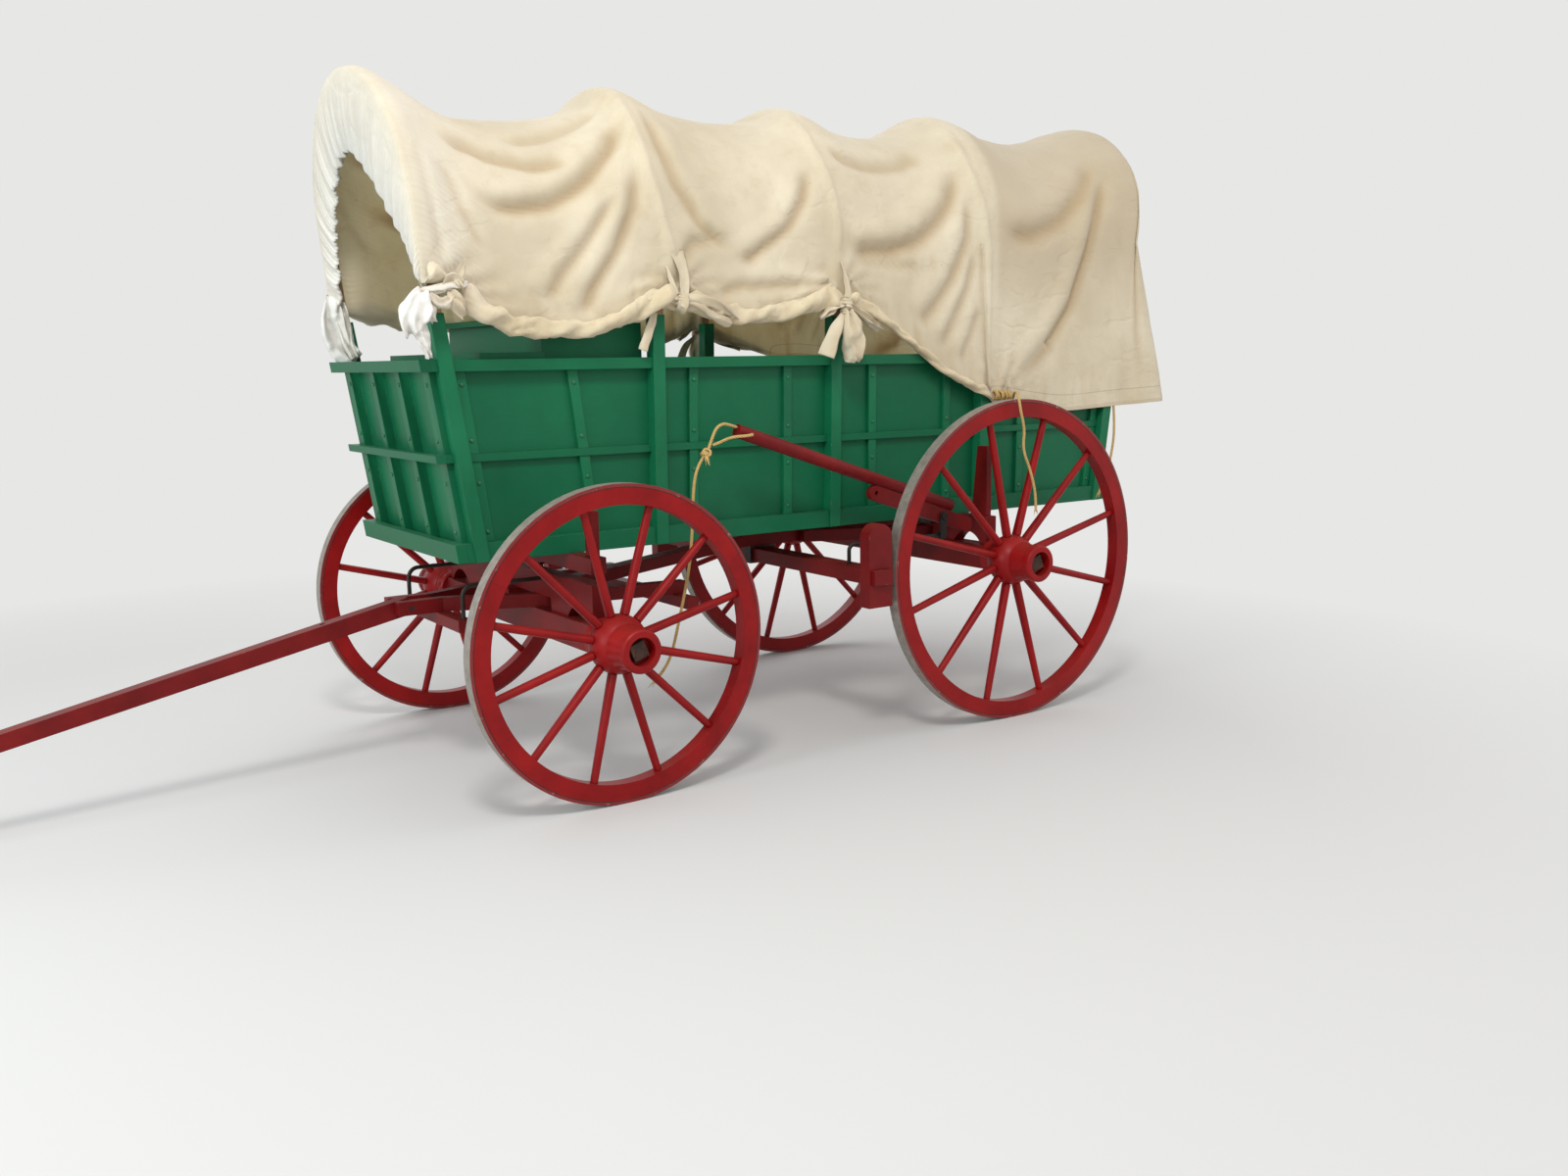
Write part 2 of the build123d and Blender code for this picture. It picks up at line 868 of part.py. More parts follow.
# Front hounds: two bars through the layer, spread behind and drawn in before.
hound_rear_reach = 560.0
hound_rear_x = front_axle_x - hound_rear_reach
hound_front_tail = 50.0
hound_bend_reach = 120.0
hound_front_x = tongue_pin_x + hound_front_tail
hound_bend_x = tongue_pin_x - hound_bend_reach
hound_rear_y = 300.0
hound_mid_y = 215.0
hound_side_gap = 6.0
hound_front_y = tongue_width / 2 + hound_side_gap + hound_width / 2
hound_centre_line = (
    (hound_rear_x, hound_rear_y),
    (front_axle_x, hound_mid_y),
    (hound_bend_x, hound_front_y),
    (hound_front_x, hound_front_y),
)
hound_inner = [(x, y - hound_width / 2) for x, y in hound_centre_line]
hound_outer = [(x, y + hound_width / 2) for x, y in reversed(hound_centre_line)]
with BuildPart() as left_hound:
    with BuildSketch(Plane.XY.offset(front_beam_top)):
        with BuildLine():
            Polyline(*hound_inner, *hound_outer, close=True)
        make_face()
    extrude(amount=layer_height)
    with BuildSketch(
        Plane(
            origin=(tongue_pin_x, 0, front_beam_top + layer_height / 2),
            z_dir=(0, 1, 0),
        )
    ):
        Circle(tongue_pin_radius)
    extrude(amount=hound_front_y + hound_width, mode=Mode.SUBTRACT)
with BuildPart() as front_hounds:
    add(left_hound.part)
    add(mirrored(left_hound.part))
save(front_hounds.part, "front_hounds")

# Bars under the hounds: the sway bar behind and a shorter bar in front.
sway_bar_x = hound_rear_x + sway_bar_width / 2 + hound_side_gap
with BuildPart() as hound_bars:
    for bar_x, bar_half_length in (
        (sway_bar_x, sway_bar_half_length),
        (front_bar_x, front_bar_half_length),
    ):
        block(
            bar_x - sway_bar_width / 2,
            bar_x + sway_bar_width / 2,
            -bar_half_length,
            bar_half_length,
            front_beam_top - sway_bar_height,
            front_beam_top,
        )
save(hound_bars.part, "hound_bars")

# An iron brace from each end of the front bar, up and back to the sand board.
brace_y = front_bar_half_length - 2 * brace_radius
with BuildPart() as left_brace:
    with BuildLine() as brace_path:
        FilletPolyline(
            (front_bar_x, brace_y, front_beam_top),
            (front_bar_x, brace_y, front_beam_top + brace_rise),
            (front_axle_x + bolster_width / 2, brace_y, front_beam_top + brace_rise),
            radius=brace_bend,
        )
    with BuildSketch(Plane.XY.offset(front_beam_top)):
        with Locations((front_bar_x, brace_y)):
            Circle(brace_radius)
    sweep(path=brace_path.line)
with BuildPart() as front_braces:
    add(left_brace.part)
    add(mirrored(left_brace.part))
save(front_braces.part, "front_braces")

# Front bolster under the bed, deeper over the rub plate, with the kingpin below it.
bolster_end_low = bed_bottom_z - bolster_end_height
with BuildPart() as front_bolster:
    with BuildSketch(Plane.YZ.offset(front_axle_x - bolster_width / 2)):
        with BuildLine():
            Polyline(
                (-bolster_half_length, bed_bottom_z),
                (-bolster_half_length, bolster_end_low),
                (-bolster_taper_half, bolster_end_low),
                (-bolster_centre_half, front_bolster_low),
                (bolster_centre_half, front_bolster_low),
                (bolster_taper_half, bolster_end_low),
                (bolster_half_length, bolster_end_low),
                (bolster_half_length, bed_bottom_z),
                close=True,
            )
        make_face()
    extrude(amount=bolster_width)
save(front_bolster.part, "front_bolster")
kingpin_low = front_beam_low - kingpin_tail
with BuildPart() as kingpin:
    with BuildSketch(Plane.XY.offset(kingpin_low)):
        with Locations((front_axle_x, 0)):
            Circle(kingpin_radius)
    extrude(amount=front_bolster_low - kingpin_low)
save(kingpin.part, "kingpin")

# A plank stake near each end of both bolsters, the rear ones wider at the foot.
bolster_stake_outer = bolster_half_length - bolster_stake_inset
with BuildPart() as left_bolster_stakes:
    for stake_x, stake_rise_here, foot_spread in (
        (front_axle_x, front_bolster_stake_rise, 0.0),
        (rear_axle_x, rear_bolster_stake_rise, rear_stake_foot_spread),
    ):
        with BuildSketch(Plane.YZ.offset(stake_x - bolster_stake_width / 2)) as stake_face:
            with BuildLine():
                Polyline(
                    (bolster_stake_outer, bed_bottom_z),
                    (bolster_stake_outer, bed_bottom_z + stake_rise_here),
                    (
                        bolster_stake_outer - bolster_stake_depth,
                        bed_bottom_z + stake_rise_here,
                    ),
                    (
                        bolster_stake_outer - bolster_stake_depth - foot_spread,
                        bed_bottom_z,
                    ),
                    close=True,
                )
            make_face()
        extrude(stake_face.sketch, amount=bolster_stake_width)
with BuildPart() as bolster_stakes:
    add(left_bolster_stakes.part)
    add(mirrored(left_bolster_stakes.part))
save(bolster_stakes.part, "bolster_stakes")

# Rear axle, hounds and bolster.
with BuildPart() as rear_axle:
    axle_beam(rear_axle_x, rear_axle_z)
save(rear_axle.part, "rear_axle")
with BuildPart() as left_rear_arm:
    axle_arm(rear_axle_x, rear_axle_z)
with BuildPart() as rear_axle_arms:
    add(left_rear_arm.part)
    add(mirrored(left_rear_arm.part))
save(rear_axle_arms.part, "rear_axle_arms")
with BuildPart() as rear_bolster:
    footed_board(rear_axle_x, rear_beam_top, rear_bolster_low, bed_bottom_z)
save(rear_bolster.part, "rear_bolster")

# Reach from the kingpin back over the rear axle, level from the brake stirrup on.
shoe_face_x = rear_axle_x + rear_axle_z + shoe_gap
beam_rear_x = shoe_face_x + shoe_wall
beam_front_x = beam_rear_x + brake_beam_width
reach_front_x = front_axle_x + 70.0
reach_bend_x = front_axle_x - 90.0
reach_level_x = beam_front_x + stirrup_end_gap + stirrup_iron + reach_level_margin
reach_rear_x = rear_axle_x - reach_tail
reach_front_low = front_beam_top + (layer_height - reach_height) / 2
reach_rear_low = rear_beam_top
with BuildPart() as reach:
    with BuildSketch(Plane.XZ.offset(reach_width / 2)):
        with BuildLine():
            Polyline(
                (reach_front_x, reach_front_low),
                (reach_bend_x, reach_front_low),
                (reach_level_x, reach_rear_low),
                (reach_rear_x, reach_rear_low),
                (reach_rear_x, reach_rear_low + reach_height),
                (reach_level_x, reach_rear_low + reach_height),
                (reach_bend_x, reach_front_low + reach_height),
                (reach_front_x, reach_front_low + reach_height),
                close=True,
            )
        make_face()
    extrude(amount=-reach_width)
    kingpin_hole(reach_front_low, reach_front_low + reach_height)
save(reach.part, "reach")

rear_hound_front_x = rear_axle_x + rear_hound_length
rear_hound_rear_x = rear_axle_x - rear_hound_tail
with BuildPart() as left_rear_hound:
    with BuildSketch(Plane.XY.offset(rear_beam_top)):
        with BuildLine():
            Polyline(
                (rear_hound_rear_x, rear_hound_spread),
                (rear_axle_x, rear_hound_spread),
                (rear_hound_front_x - 60, reach_width / 2),
                (rear_hound_front_x, reach_width / 2),
                (rear_hound_front_x, reach_width / 2 + hound_width),
                (rear_axle_x, rear_hound_spread + hound_width),
                (rear_hound_rear_x, rear_hound_spread + hound_width),
                close=True,
            )
        make_face()
    extrude(amount=layer_height)
with BuildPart() as rear_hounds:
    add(left_rear_hound.part)
    add(mirrored(left_rear_hound.part))
save(rear_hounds.part, "rear_hounds")

# Tongue, its tip on the ground at rest.
tongue_pin_z = front_beam_top + layer_height / 2
tongue_fall = (tongue_pin_z - tongue_tip_height / 2) / tongue_length
tongue_tip_x = tongue_pin_x + tongue_length
with BuildPart() as tongue:
    half_root = tongue_root_height / 2
    with BuildSketch(Plane.XZ.offset(tongue_width / 2)):
        with BuildLine():
            Polyline(
                (tongue_pin_x - half_root, tongue_pin_z - half_root * 0.5),
                (tongue_pin_x, tongue_pin_z - half_root),
                (tongue_tip_x, 0),
                (tongue_tip_x + tongue_tip_lip, tongue_tip_height),
                (tongue_pin_x, tongue_pin_z + half_root),
                (tongue_pin_x - half_root, tongue_pin_z + half_root * 0.5),
                close=True,
            )
        make_face()
    extrude(amount=-tongue_width)
    with BuildSketch(
        Plane(origin=(tongue_pin_x, -tongue_width / 2, tongue_pin_z), z_dir=(0, 1, 0))
    ):
        Circle(tongue_pin_radius + pin_clearance)
    extrude(amount=tongue_width, mode=Mode.SUBTRACT)
    hole_z = tongue_pin_z - tongue_fall * hammer_hole_reach
    with BuildSketch(
        Plane(
            origin=(tongue_pin_x + hammer_hole_reach, 0, hole_z),
            z_dir=(tongue_fall, 0, 1),
        )
    ):
        Circle(hammer_hole_radius)
    extrude(amount=tongue_root_height, both=True, mode=Mode.SUBTRACT)
save(tongue.part, "tongue")
with BuildPart() as tongue_pin:
    with BuildSketch(
        Plane(
            origin=(tongue_pin_x, -(hound_front_y + hound_width / 2), tongue_pin_z),
            z_dir=(0, 1, 0),
        )
    ):
        Circle(tongue_pin_radius - pin_fit)
    extrude(amount=2 * hound_front_y + hound_width)
save(tongue_pin.part, "tongue_pin")

print("wheels")


def ring_plane(x, y, z):
    return Plane(origin=(x, y, z), z_dir=(0, 1, 0))


def wheel_hub(x, z):
    # A turned hub: banded ends, a round belly under the spokes, a recess for the nut.
    belt_y = track_half - dish
    belly_low = belt_y - hub_belly_half
    belly_high = belt_y + hub_belly_half
    belly_end_radius = hub_band_radius + hub_step
    groove_radius = hub_band_radius - hub_step
    inner_band_y = hub_inner_y + hub_edge + hub_band_width
    outer_band_y = hub_outer_y - hub_band_width
    with BuildPart() as hub:
        with BuildSketch(Plane(origin=(x, 0, z), x_dir=(0, 1, 0), z_dir=(1, 0, 0))):
            with BuildLine():
                Polyline(
                    (hub_inner_y, spindle_radius + spindle_clearance),
                    (hub_inner_y, hub_end_radius),
                    (hub_inner_y + hub_edge, hub_band_radius),
                    (inner_band_y, hub_band_radius),
                    (inner_band_y + hub_step, belly_end_radius),
                    (belly_low, belly_end_radius),
                )
                ThreePointArc(
                    (belly_low, belly_end_radius),
                    (belt_y, hub_belt_radius),
                    (belly_high, belly_end_radius),
                )
                Polyline(
                    (belly_high, belly_end_radius),
                    (outer_band_y - hub_step - hub_groove_width, groove_radius),
                    (outer_band_y - hub_step, groove_radius),
                    (outer_band_y, hub_band_radius),
                    (hub_outer_y - hub_edge, hub_band_radius),
                    (hub_outer_y, hub_end_radius),
                    (hub_outer_y, nut_recess_radius),
                    (hub_outer_y - nut_recess_depth, nut_recess_radius),
                    (
                        hub_outer_y - nut_recess_depth,
                        spindle_radius + spindle_clearance,
                    ),
                    (hub_inner_y, spindle_radius + spindle_clearance),
                )
            make_face()
        revolve(axis=Axis((x, 0, z), (0, 1, 0)))
    return hub.part


def wheel_tyre(x, z, wheel_radius):
    with BuildPart() as tyre:
        with BuildSketch(ring_plane(x, track_half - tyre_width / 2, z)):
            Circle(wheel_radius)
            Circle(wheel_radius - tyre_thickness, mode=Mode.SUBTRACT)
        extrude(amount=tyre_width)
    return tyre.part


def wheel_felloes(x, z, wheel_radius):
    # Bent rim pieces, their inner corners chamfered between the spokes.
    outer = wheel_radius - tyre_thickness - wood_gap
    inner = wheel_radius - tyre_thickness - felloe_depth
    spoke_step = 360 / spoke_count
    felloe_turn = 360 / felloe_count
    chamfer_turn = spoke_step - 2 * chamfer_stop_angle
    turning = Axis((x, 0, z), (0, 1, 0))
    corners = []
    for face_y, toward in (
        (track_half - tyre_width / 2, 1),
        (track_half + tyre_width / 2, -1),
    ):
        corners.append(
            (
                (inner - 1, face_y - toward),
                (inner + felloe_chamfer, face_y - toward),
                (inner - 1, face_y + toward * felloe_chamfer),
            )
        )
    with BuildPart() as chamfers:
        for corner in corners:
            with BuildSketch(Plane(origin=(x, 0, z), x_dir=(1, 0, 0), z_dir=(0, 0, -1))):
                Polygon(*corner, align=None)
            revolve(axis=turning, revolution_arc=chamfer_turn)
    with BuildPart() as felloes:
        with BuildSketch(ring_plane(x, track_half - tyre_width / 2, z)):
            Circle(outer)
            Circle(inner, mode=Mode.SUBTRACT)
        extrude(amount=tyre_width)
        for number in range(felloe_count):
            with BuildSketch(ring_plane(x, track_half - tyre_width / 2, z)):
                with PolarLocations(0, 1, start_angle=number * felloe_turn):
                    with Locations(((inner + outer) / 2, 0)):
                        Rectangle(2 * felloe_depth, felloe_joint)
            extrude(amount=tyre_width, mode=Mode.SUBTRACT)
        for number in range(spoke_count):
            first = (number - 0.5) * spoke_step + chamfer_stop_angle
            add(chamfers.part.rotate(turning, first), mode=Mode.SUBTRACT)
    return felloes.part


def wheel_spokes(x, z, wheel_radius):
    # Oval spokes, wide at the hub and round at the rim, leaning out by the dish.
    inner = wheel_radius - tyre_thickness - felloe_depth
    belt_y = track_half - dish
    hub_side = hub_belt_radius + wood_gap
    rim_side = inner - wood_gap
    with BuildPart() as between:
        with BuildSketch(ring_plane(x, hub_inner_y, z)):
            Circle(rim_side)
            Circle(hub_side, mode=Mode.SUBTRACT)
        extrude(amount=hub_outer_y - hub_inner_y)
    start = hub_side - spoke_tip_radius
    finish = rim_side + spoke_tip_radius
    with BuildPart() as spokes:
        for number in range(spoke_count):
            turn = 2 * pi * (number + 0.5) / spoke_count
            out = (cos(turn), sin(turn))
            foot = Vector(x + start * out[0], belt_y, z + start * out[1])
            tip = Vector(x + finish * out[0], track_half, z + finish * out[1])
            run = tip - foot
            with BuildSketch(Plane(origin=foot, x_dir=(0, 1, 0), z_dir=run)):
                Ellipse(spoke_foot_radius, spoke_foot_radius * spoke_foot_flat)
            with BuildSketch(Plane(origin=tip, x_dir=(0, 1, 0), z_dir=run)):
                Circle(spoke_tip_radius)
            loft()
        add(between.part, mode=Mode.INTERSECT)
    return spokes.part


for wheel_name, wheel_x, wheel_radius in (
    ("front", front_axle_x, front_axle_z),
    ("rear", rear_axle_x, rear_axle_z),
):
    for piece_name, piece in (
        ("hub", wheel_hub(wheel_x, wheel_radius)),
        ("spokes", wheel_spokes(wheel_x, wheel_radius, wheel_radius)),
        ("felloes", wheel_felloes(wheel_x, wheel_radius, wheel_radius)),
        ("tyre", wheel_tyre(wheel_x, wheel_radius, wheel_radius)),
    ):
        save(piece, wheel_name + "_left_" + piece_name)
        save(mirrored(piece), wheel_name + "_right_" + piece_name)

print("brake")
pole_run = (cos(radians(brake_pole_angle)), 0, sin(radians(brake_pole_angle)))
pole_up = (-pole_run[2], 0, pole_run[0])
pole_rise = brake_arm_height / 2 + brake_pole_radius - brake_pole_seat
bracket_y = brake_y - brake_pole_radius - bracket_gap


def along_arm(run, rise):
    # A place along the arm from its pivot, and square to it.
    return (
        brake_pivot_x + run * pole_run[0] + rise * pole_up[0],
        brake_pivot_z + run * pole_run[2] + rise * pole_up[2],
    )


# The arm is a plank with round ends; its pivot has an iron crank below it.
arm_low_y = brake_y - brake_arm_thickness / 2
with BuildPart() as brake_arm:
    with BuildSketch(Plane.XZ.offset(-arm_low_y)):
        arm_end = brake_arm_height / 2
        with BuildLine():
            Line(along_arm(-brake_arm_rear, arm_end), along_arm(brake_arm_front, arm_end))
            ThreePointArc(
                along_arm(brake_arm_front, arm_end),
                along_arm(brake_arm_front + arm_end, 0),
                along_arm(brake_arm_front, -arm_end),
            )
            Line(
                along_arm(brake_arm_front, -arm_end), along_arm(-brake_arm_rear, -arm_end)
            )
            ThreePointArc(
                along_arm(-brake_arm_rear, -arm_end),
                along_arm(-brake_arm_rear - arm_end, 0),
                along_arm(-brake_arm_rear, arm_end),
            )
        make_face()
    extrude(amount=-brake_arm_thickness)
    with BuildSketch(ring_plane(brake_pivot_x, arm_low_y, brake_pivot_z)):
        Circle(brake_pivot_radius + pin_clearance)
    extrude(amount=brake_arm_thickness, mode=Mode.SUBTRACT)
    arm_hole = along_arm(brake_arm_front, 0)
    with BuildSketch(ring_plane(arm_hole[0], arm_low_y, arm_hole[1])):
        Circle(brake_arm_hole_radius)
    extrude(amount=brake_arm_thickness, mode=Mode.SUBTRACT)
save(brake_arm.part, "brake_arm")

pole_rear = along_arm(-brake_pole_tail, pole_rise)
with BuildPart() as brake_lever:
    with BuildSketch(
        Plane(origin=(pole_rear[0], brake_y, pole_rear[1]), z_dir=pole_run)
    ):
        Circle(brake_pole_radius)
    extrude(amount=brake_pole_length)
    add(brake_arm.part, mode=Mode.SUBTRACT)
save(brake_lever.part, "brake_lever")

# The crank's pin drives the beam through the rod: its length gives the travel.
crank_length = brake_travel / radians(brake_pull_angle)
crank_low_y = brake_y + brake_arm_thickness / 2
crank_pin_z = brake_pivot_z - crank_length
with BuildPart() as brake_crank:
    with BuildSketch(Plane.XZ.offset(-crank_low_y)):
        with BuildLine():
            half = crank_width / 2
            Line((brake_pivot_x - half, brake_pivot_z), (brake_pivot_x - half, crank_pin_z))
            ThreePointArc(
                (brake_pivot_x - half, crank_pin_z),
                (brake_pivot_x, crank_pin_z - half),
                (brake_pivot_x + half, crank_pin_z),
            )
            Line((brake_pivot_x + half, crank_pin_z), (brake_pivot_x + half, brake_pivot_z))
            ThreePointArc(
                (brake_pivot_x + half, brake_pivot_z),
                (brake_pivot_x, brake_pivot_z + half),
                (brake_pivot_x - half, brake_pivot_z),
            )
        make_face()
    extrude(amount=-crank_thickness)
    with BuildSketch(ring_plane(brake_pivot_x, crank_low_y, brake_pivot_z)):
        Circle(brake_pivot_radius + pin_clearance)
    extrude(amount=crank_thickness, mode=Mode.SUBTRACT)
    with BuildSketch(
        ring_plane(brake_pivot_x, crank_low_y - rod_eye_thickness - rod_eye_side_gap, crank_pin_z)
    ):
        Circle(crank_pin_radius)
    extrude(amount=rod_eye_thickness + rod_eye_side_gap)
save(brake_crank.part, "brake_crank")

# The bracket reaches out under the side sill and carries the pivot pin.
with BuildPart() as brake_bracket:
    with BuildSketch(ring_plane(brake_pivot_x, bracket_y, brake_pivot_z)):
        Circle(brake_pivot_radius)
    extrude(amount=crank_low_y + crank_thickness + bracket_gap - bracket_y)
    block(
        brake_pivot_x - bracket_width / 2,
        brake_pivot_x + bracket_width / 2,
        bracket_y - bracket_thickness,
        bracket_y,
        bed_bottom_z - bracket_thickness,
        brake_pivot_z + bracket_width / 2,
    )
    block(
        brake_pivot_x - bracket_width / 2,
        brake_pivot_x + bracket_width / 2,
        side_inner,
        bracket_y,
        bed_bottom_z - bracket_thickness,
        bed_bottom_z,
    )
save(brake_bracket.part, "brake_bracket")

# Brake beam across the wagon with a shoe before each rear wheel.
brake_beam_top = reach_rear_low - brake_beam_drop
brake_beam_end_y = track_half + brake_beam_reach
with BuildPart() as brake_beam:
    block(
        beam_rear_x,
        beam_front_x,
        -brake_beam_end_y,
        brake_beam_end_y,
        brake_beam_top - brake_beam_height,
        brake_beam_top,
    )
save(brake_beam.part, "brake_beam")

# Rod from a foot on the beam back to an eye round the crank's pin.
rod_y = crank_low_y - rod_eye_side_gap - rod_eye_thickness / 2
rod_foot_x = (beam_rear_x + beam_front_x) / 2
with BuildPart() as brake_rod:
    with BuildSketch(
        ring_plane(brake_pivot_x, rod_y - rod_eye_thickness / 2, crank_pin_z)
    ):
        Circle(rod_eye_radius)
    extrude(amount=rod_eye_thickness)
    with BuildLine() as rod_path:
        FilletPolyline(
            (brake_pivot_x + rod_eye_radius - rod_radius / 2, rod_y, crank_pin_z),
            (rod_foot_x, rod_y, crank_pin_z),
            (rod_foot_x, rod_y, brake_beam_top),
            radius=3 * rod_radius,
        )
    with BuildSketch(
        Plane(
            origin=(brake_pivot_x + rod_eye_radius - rod_radius / 2, rod_y, crank_pin_z),
            z_dir=(1, 0, 0),
        )
    ):
        Circle(rod_radius)
    sweep(path=rod_path.line)
    with BuildSketch(
        ring_plane(brake_pivot_x, rod_y - rod_eye_thickness / 2, crank_pin_z)
    ):
        Circle(crank_pin_radius + rod_eye_gap)
    extrude(amount=rod_eye_thickness, mode=Mode.SUBTRACT)
save(brake_rod.part, "brake_rod")

# Iron stirrup under the reach in which the beam slides.
stirrup_rear_x = beam_rear_x - brake_travel - stirrup_end_gap
stirrup_front_x = beam_front_x + stirrup_end_gap
stirrup_low_z = brake_beam_top - brake_beam_height - slide_gap
with BuildPart() as brake_stirrup:
    block(
        stirrup_rear_x - stirrup_iron,
        stirrup_front_x + stirrup_iron,
        -stirrup_width / 2,
        stirrup_width / 2,
        stirrup_low_z - stirrup_iron,
        reach_rear_low,
    )
    block(
        stirrup_rear_x,
        stirrup_front_x,
        -stirrup_width / 2,
        stirrup_width / 2,
        stirrup_low_z,
        brake_beam_top + slide_gap,
        mode=Mode.SUBTRACT,
    )
save(brake_stirrup.part, "brake_stirrup")

# Round-topped shoes, each around the end of the beam.
shoe_low_z = rear_axle_z - shoe_fall
shoe_high_z = rear_axle_z + shoe_rise
shoe_round_z = shoe_high_z - shoe_thickness / 2
shoe_back_x = shoe_face_x + shoe_thickness
with BuildPart() as left_shoe:
    with BuildSketch(Plane.XZ.offset(-(track_half - shoe_width / 2))):
        with BuildLine():
            Polyline(
                (shoe_face_x, shoe_round_z),
                (shoe_face_x, shoe_low_z),
                (shoe_back_x, shoe_low_z),
                (shoe_back_x, shoe_round_z),
            )
            ThreePointArc(
                (shoe_back_x, shoe_round_z),
                ((shoe_face_x + shoe_back_x) / 2, shoe_high_z),
                (shoe_face_x, shoe_round_z),
            )
        make_face()
    extrude(amount=-shoe_width)
    add(brake_beam.part, mode=Mode.SUBTRACT)
with BuildPart() as brake_shoes:
    add(left_shoe.part)
    add(mirrored(left_shoe.part))
save(brake_shoes.part, "brake_shoes")

print("ropes")


def rope(points, name):
    # Straight runs with an arc at each point, as wide as the runs allow.
    route = [Vector(front_axle_x + x, y, z) for x, y, z in points]
    bends = []
    for before, corner, after in zip(route, route[1:], route[2:]):
        turn = (corner - before).get_angle(after - corner)
        shorter = min((corner - before).length, (after - corner).length)
        bends.append(0.45 * shorter / tan(radians(turn) / 2))
    with BuildPart() as tube:
        with BuildLine() as path:
            FilletPolyline(*route, radius=bends)
        with BuildSketch(Plane(origin=route[0], z_dir=route[1] - route[0])):
            Circle(rope_radius)
        sweep(path=path.line)
    length = sum(edge.length for edge in path.edges())
    print(name, "length", round(length), "radii", [round(bend) for bend in bends])
    print(name, "section times length", round(pi * rope_radius**2 * length))
    save(tube.part, name)


rope(lever_rope_points, "lever_rope")
rope(lever_loop_points, "lever_rope_loop")
rope(lashing_rope_points, "lashing_rope")
rope(rear_rope_points, "rear_rope")
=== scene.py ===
import bpy
import bmesh
from math import cos, exp, hypot, pi, sin, sqrt
from mathutils import Matrix, Vector, noise


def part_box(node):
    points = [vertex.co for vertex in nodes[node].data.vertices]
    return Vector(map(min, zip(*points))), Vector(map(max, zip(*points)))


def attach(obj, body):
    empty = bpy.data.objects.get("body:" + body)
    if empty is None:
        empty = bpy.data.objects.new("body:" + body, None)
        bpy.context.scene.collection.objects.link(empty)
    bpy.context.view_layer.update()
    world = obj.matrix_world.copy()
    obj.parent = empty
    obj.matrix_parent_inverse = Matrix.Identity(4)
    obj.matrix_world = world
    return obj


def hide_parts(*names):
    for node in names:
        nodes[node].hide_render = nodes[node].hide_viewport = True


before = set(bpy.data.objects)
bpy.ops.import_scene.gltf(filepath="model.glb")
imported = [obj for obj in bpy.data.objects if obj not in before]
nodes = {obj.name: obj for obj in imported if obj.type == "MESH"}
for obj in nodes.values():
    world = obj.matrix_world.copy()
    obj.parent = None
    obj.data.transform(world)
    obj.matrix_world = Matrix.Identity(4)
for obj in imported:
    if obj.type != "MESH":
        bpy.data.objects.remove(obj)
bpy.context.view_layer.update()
scene = bpy.context.scene
axleX = -0.121  # front axle; "place" is measured from it along the bed

# small helpers


def srgb(red, green, blue):
    # a colour as the eye names it, 0 to 255, to the shader's own values
    parts = [c / 255 for c in (red, green, blue)]
    return [c / 12.92 if c <= 0.04045 else ((c + 0.055) / 1.055) ** 2.4 for c in parts] + [1.0]


def smooth(t):
    t = min(max(t, 0.0), 1.0)
    return t * t * (3 - 2 * t)


def hump(distance, reach):
    # 1 at the middle, falling softly to nothing on both sides
    return exp(-((distance / reach) ** 2))


def fromAxle(x, y, z):
    # millimetres from the front axle, as a point of the scene
    return Vector((axleX + x / 1000, y / 1000, z / 1000))


def turnOnto(direction, axis="Z"):
    # the turn that lays an axis along a direction
    return direction.to_track_quat(axis, "Y").to_matrix().to_4x4()


def placed(name, data):
    holder = bpy.data.objects.new(name, data)
    scene.collection.objects.link(holder)
    return holder


def meshObject(bm, name, material):
    mesh = bpy.data.meshes.new(name)
    bm.to_mesh(mesh)
    bm.free()
    mesh.materials.append(material)
    return placed(name, mesh)


def finish(bm, name, body, material):
    piece = meshObject(bm, name, material)
    for face in piece.data.polygons:
        face.use_smooth = True
    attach(piece, body)
    return piece


def surfaceGrid(steps, rows, place, uvAt, marks):
    # a flat grid, its points moved to place(i, j); marks are values kept on the points
    bm = bmesh.new()
    bmesh.ops.create_grid(bm, x_segments=steps, y_segments=rows, size=1)
    layers = {name: bm.verts.layers.float.new(name) for name in marks}
    layer = bm.loops.layers.uv.new("cloth")
    where = {}
    for v in bm.verts:
        where[v] = (round((v.co.x + 1) / 2 * steps), round((v.co.y + 1) / 2 * rows))
    for v, (i, j) in where.items():
        v.co = place(i, j)
        for name, kept in layers.items():
            v[kept] = marks[name](i, j)
    for face in bm.faces:
        for loop in face.loops:
            loop[layer].uv = uvAt(*where[loop.vert])
    return bm


def closeTube(bm):
    # the grid's two long edges meet: merge them and close the ends
    bmesh.ops.remove_doubles(bm, verts=bm.verts, dist=1e-6)
    bmesh.ops.holes_fill(bm, edges=[e for e in bm.edges if e.is_boundary], sides=0)
    bmesh.ops.recalc_face_normals(bm, faces=bm.faces)


def smoothLine(points, steps=24):
    # points of a smooth curve through a route's control points
    data = bpy.data.curves.new("route", "CURVE")
    data.dimensions = "3D"
    data.resolution_u = steps
    spline = data.splines.new("NURBS")
    spline.points.add(len(points) - 1)
    for p, co in zip(spline.points, points):
        p.co = (*co, 1)
    spline.order_u = 3
    spline.use_endpoint_u = True
    holder = bpy.data.objects.new("route", data)
    mesh = bpy.data.meshes.new_from_object(holder)
    line = [v.co.copy() for v in mesh.vertices]
    bpy.data.meshes.remove(mesh)
    bpy.data.objects.remove(holder)
    bpy.data.curves.remove(data)
    return line


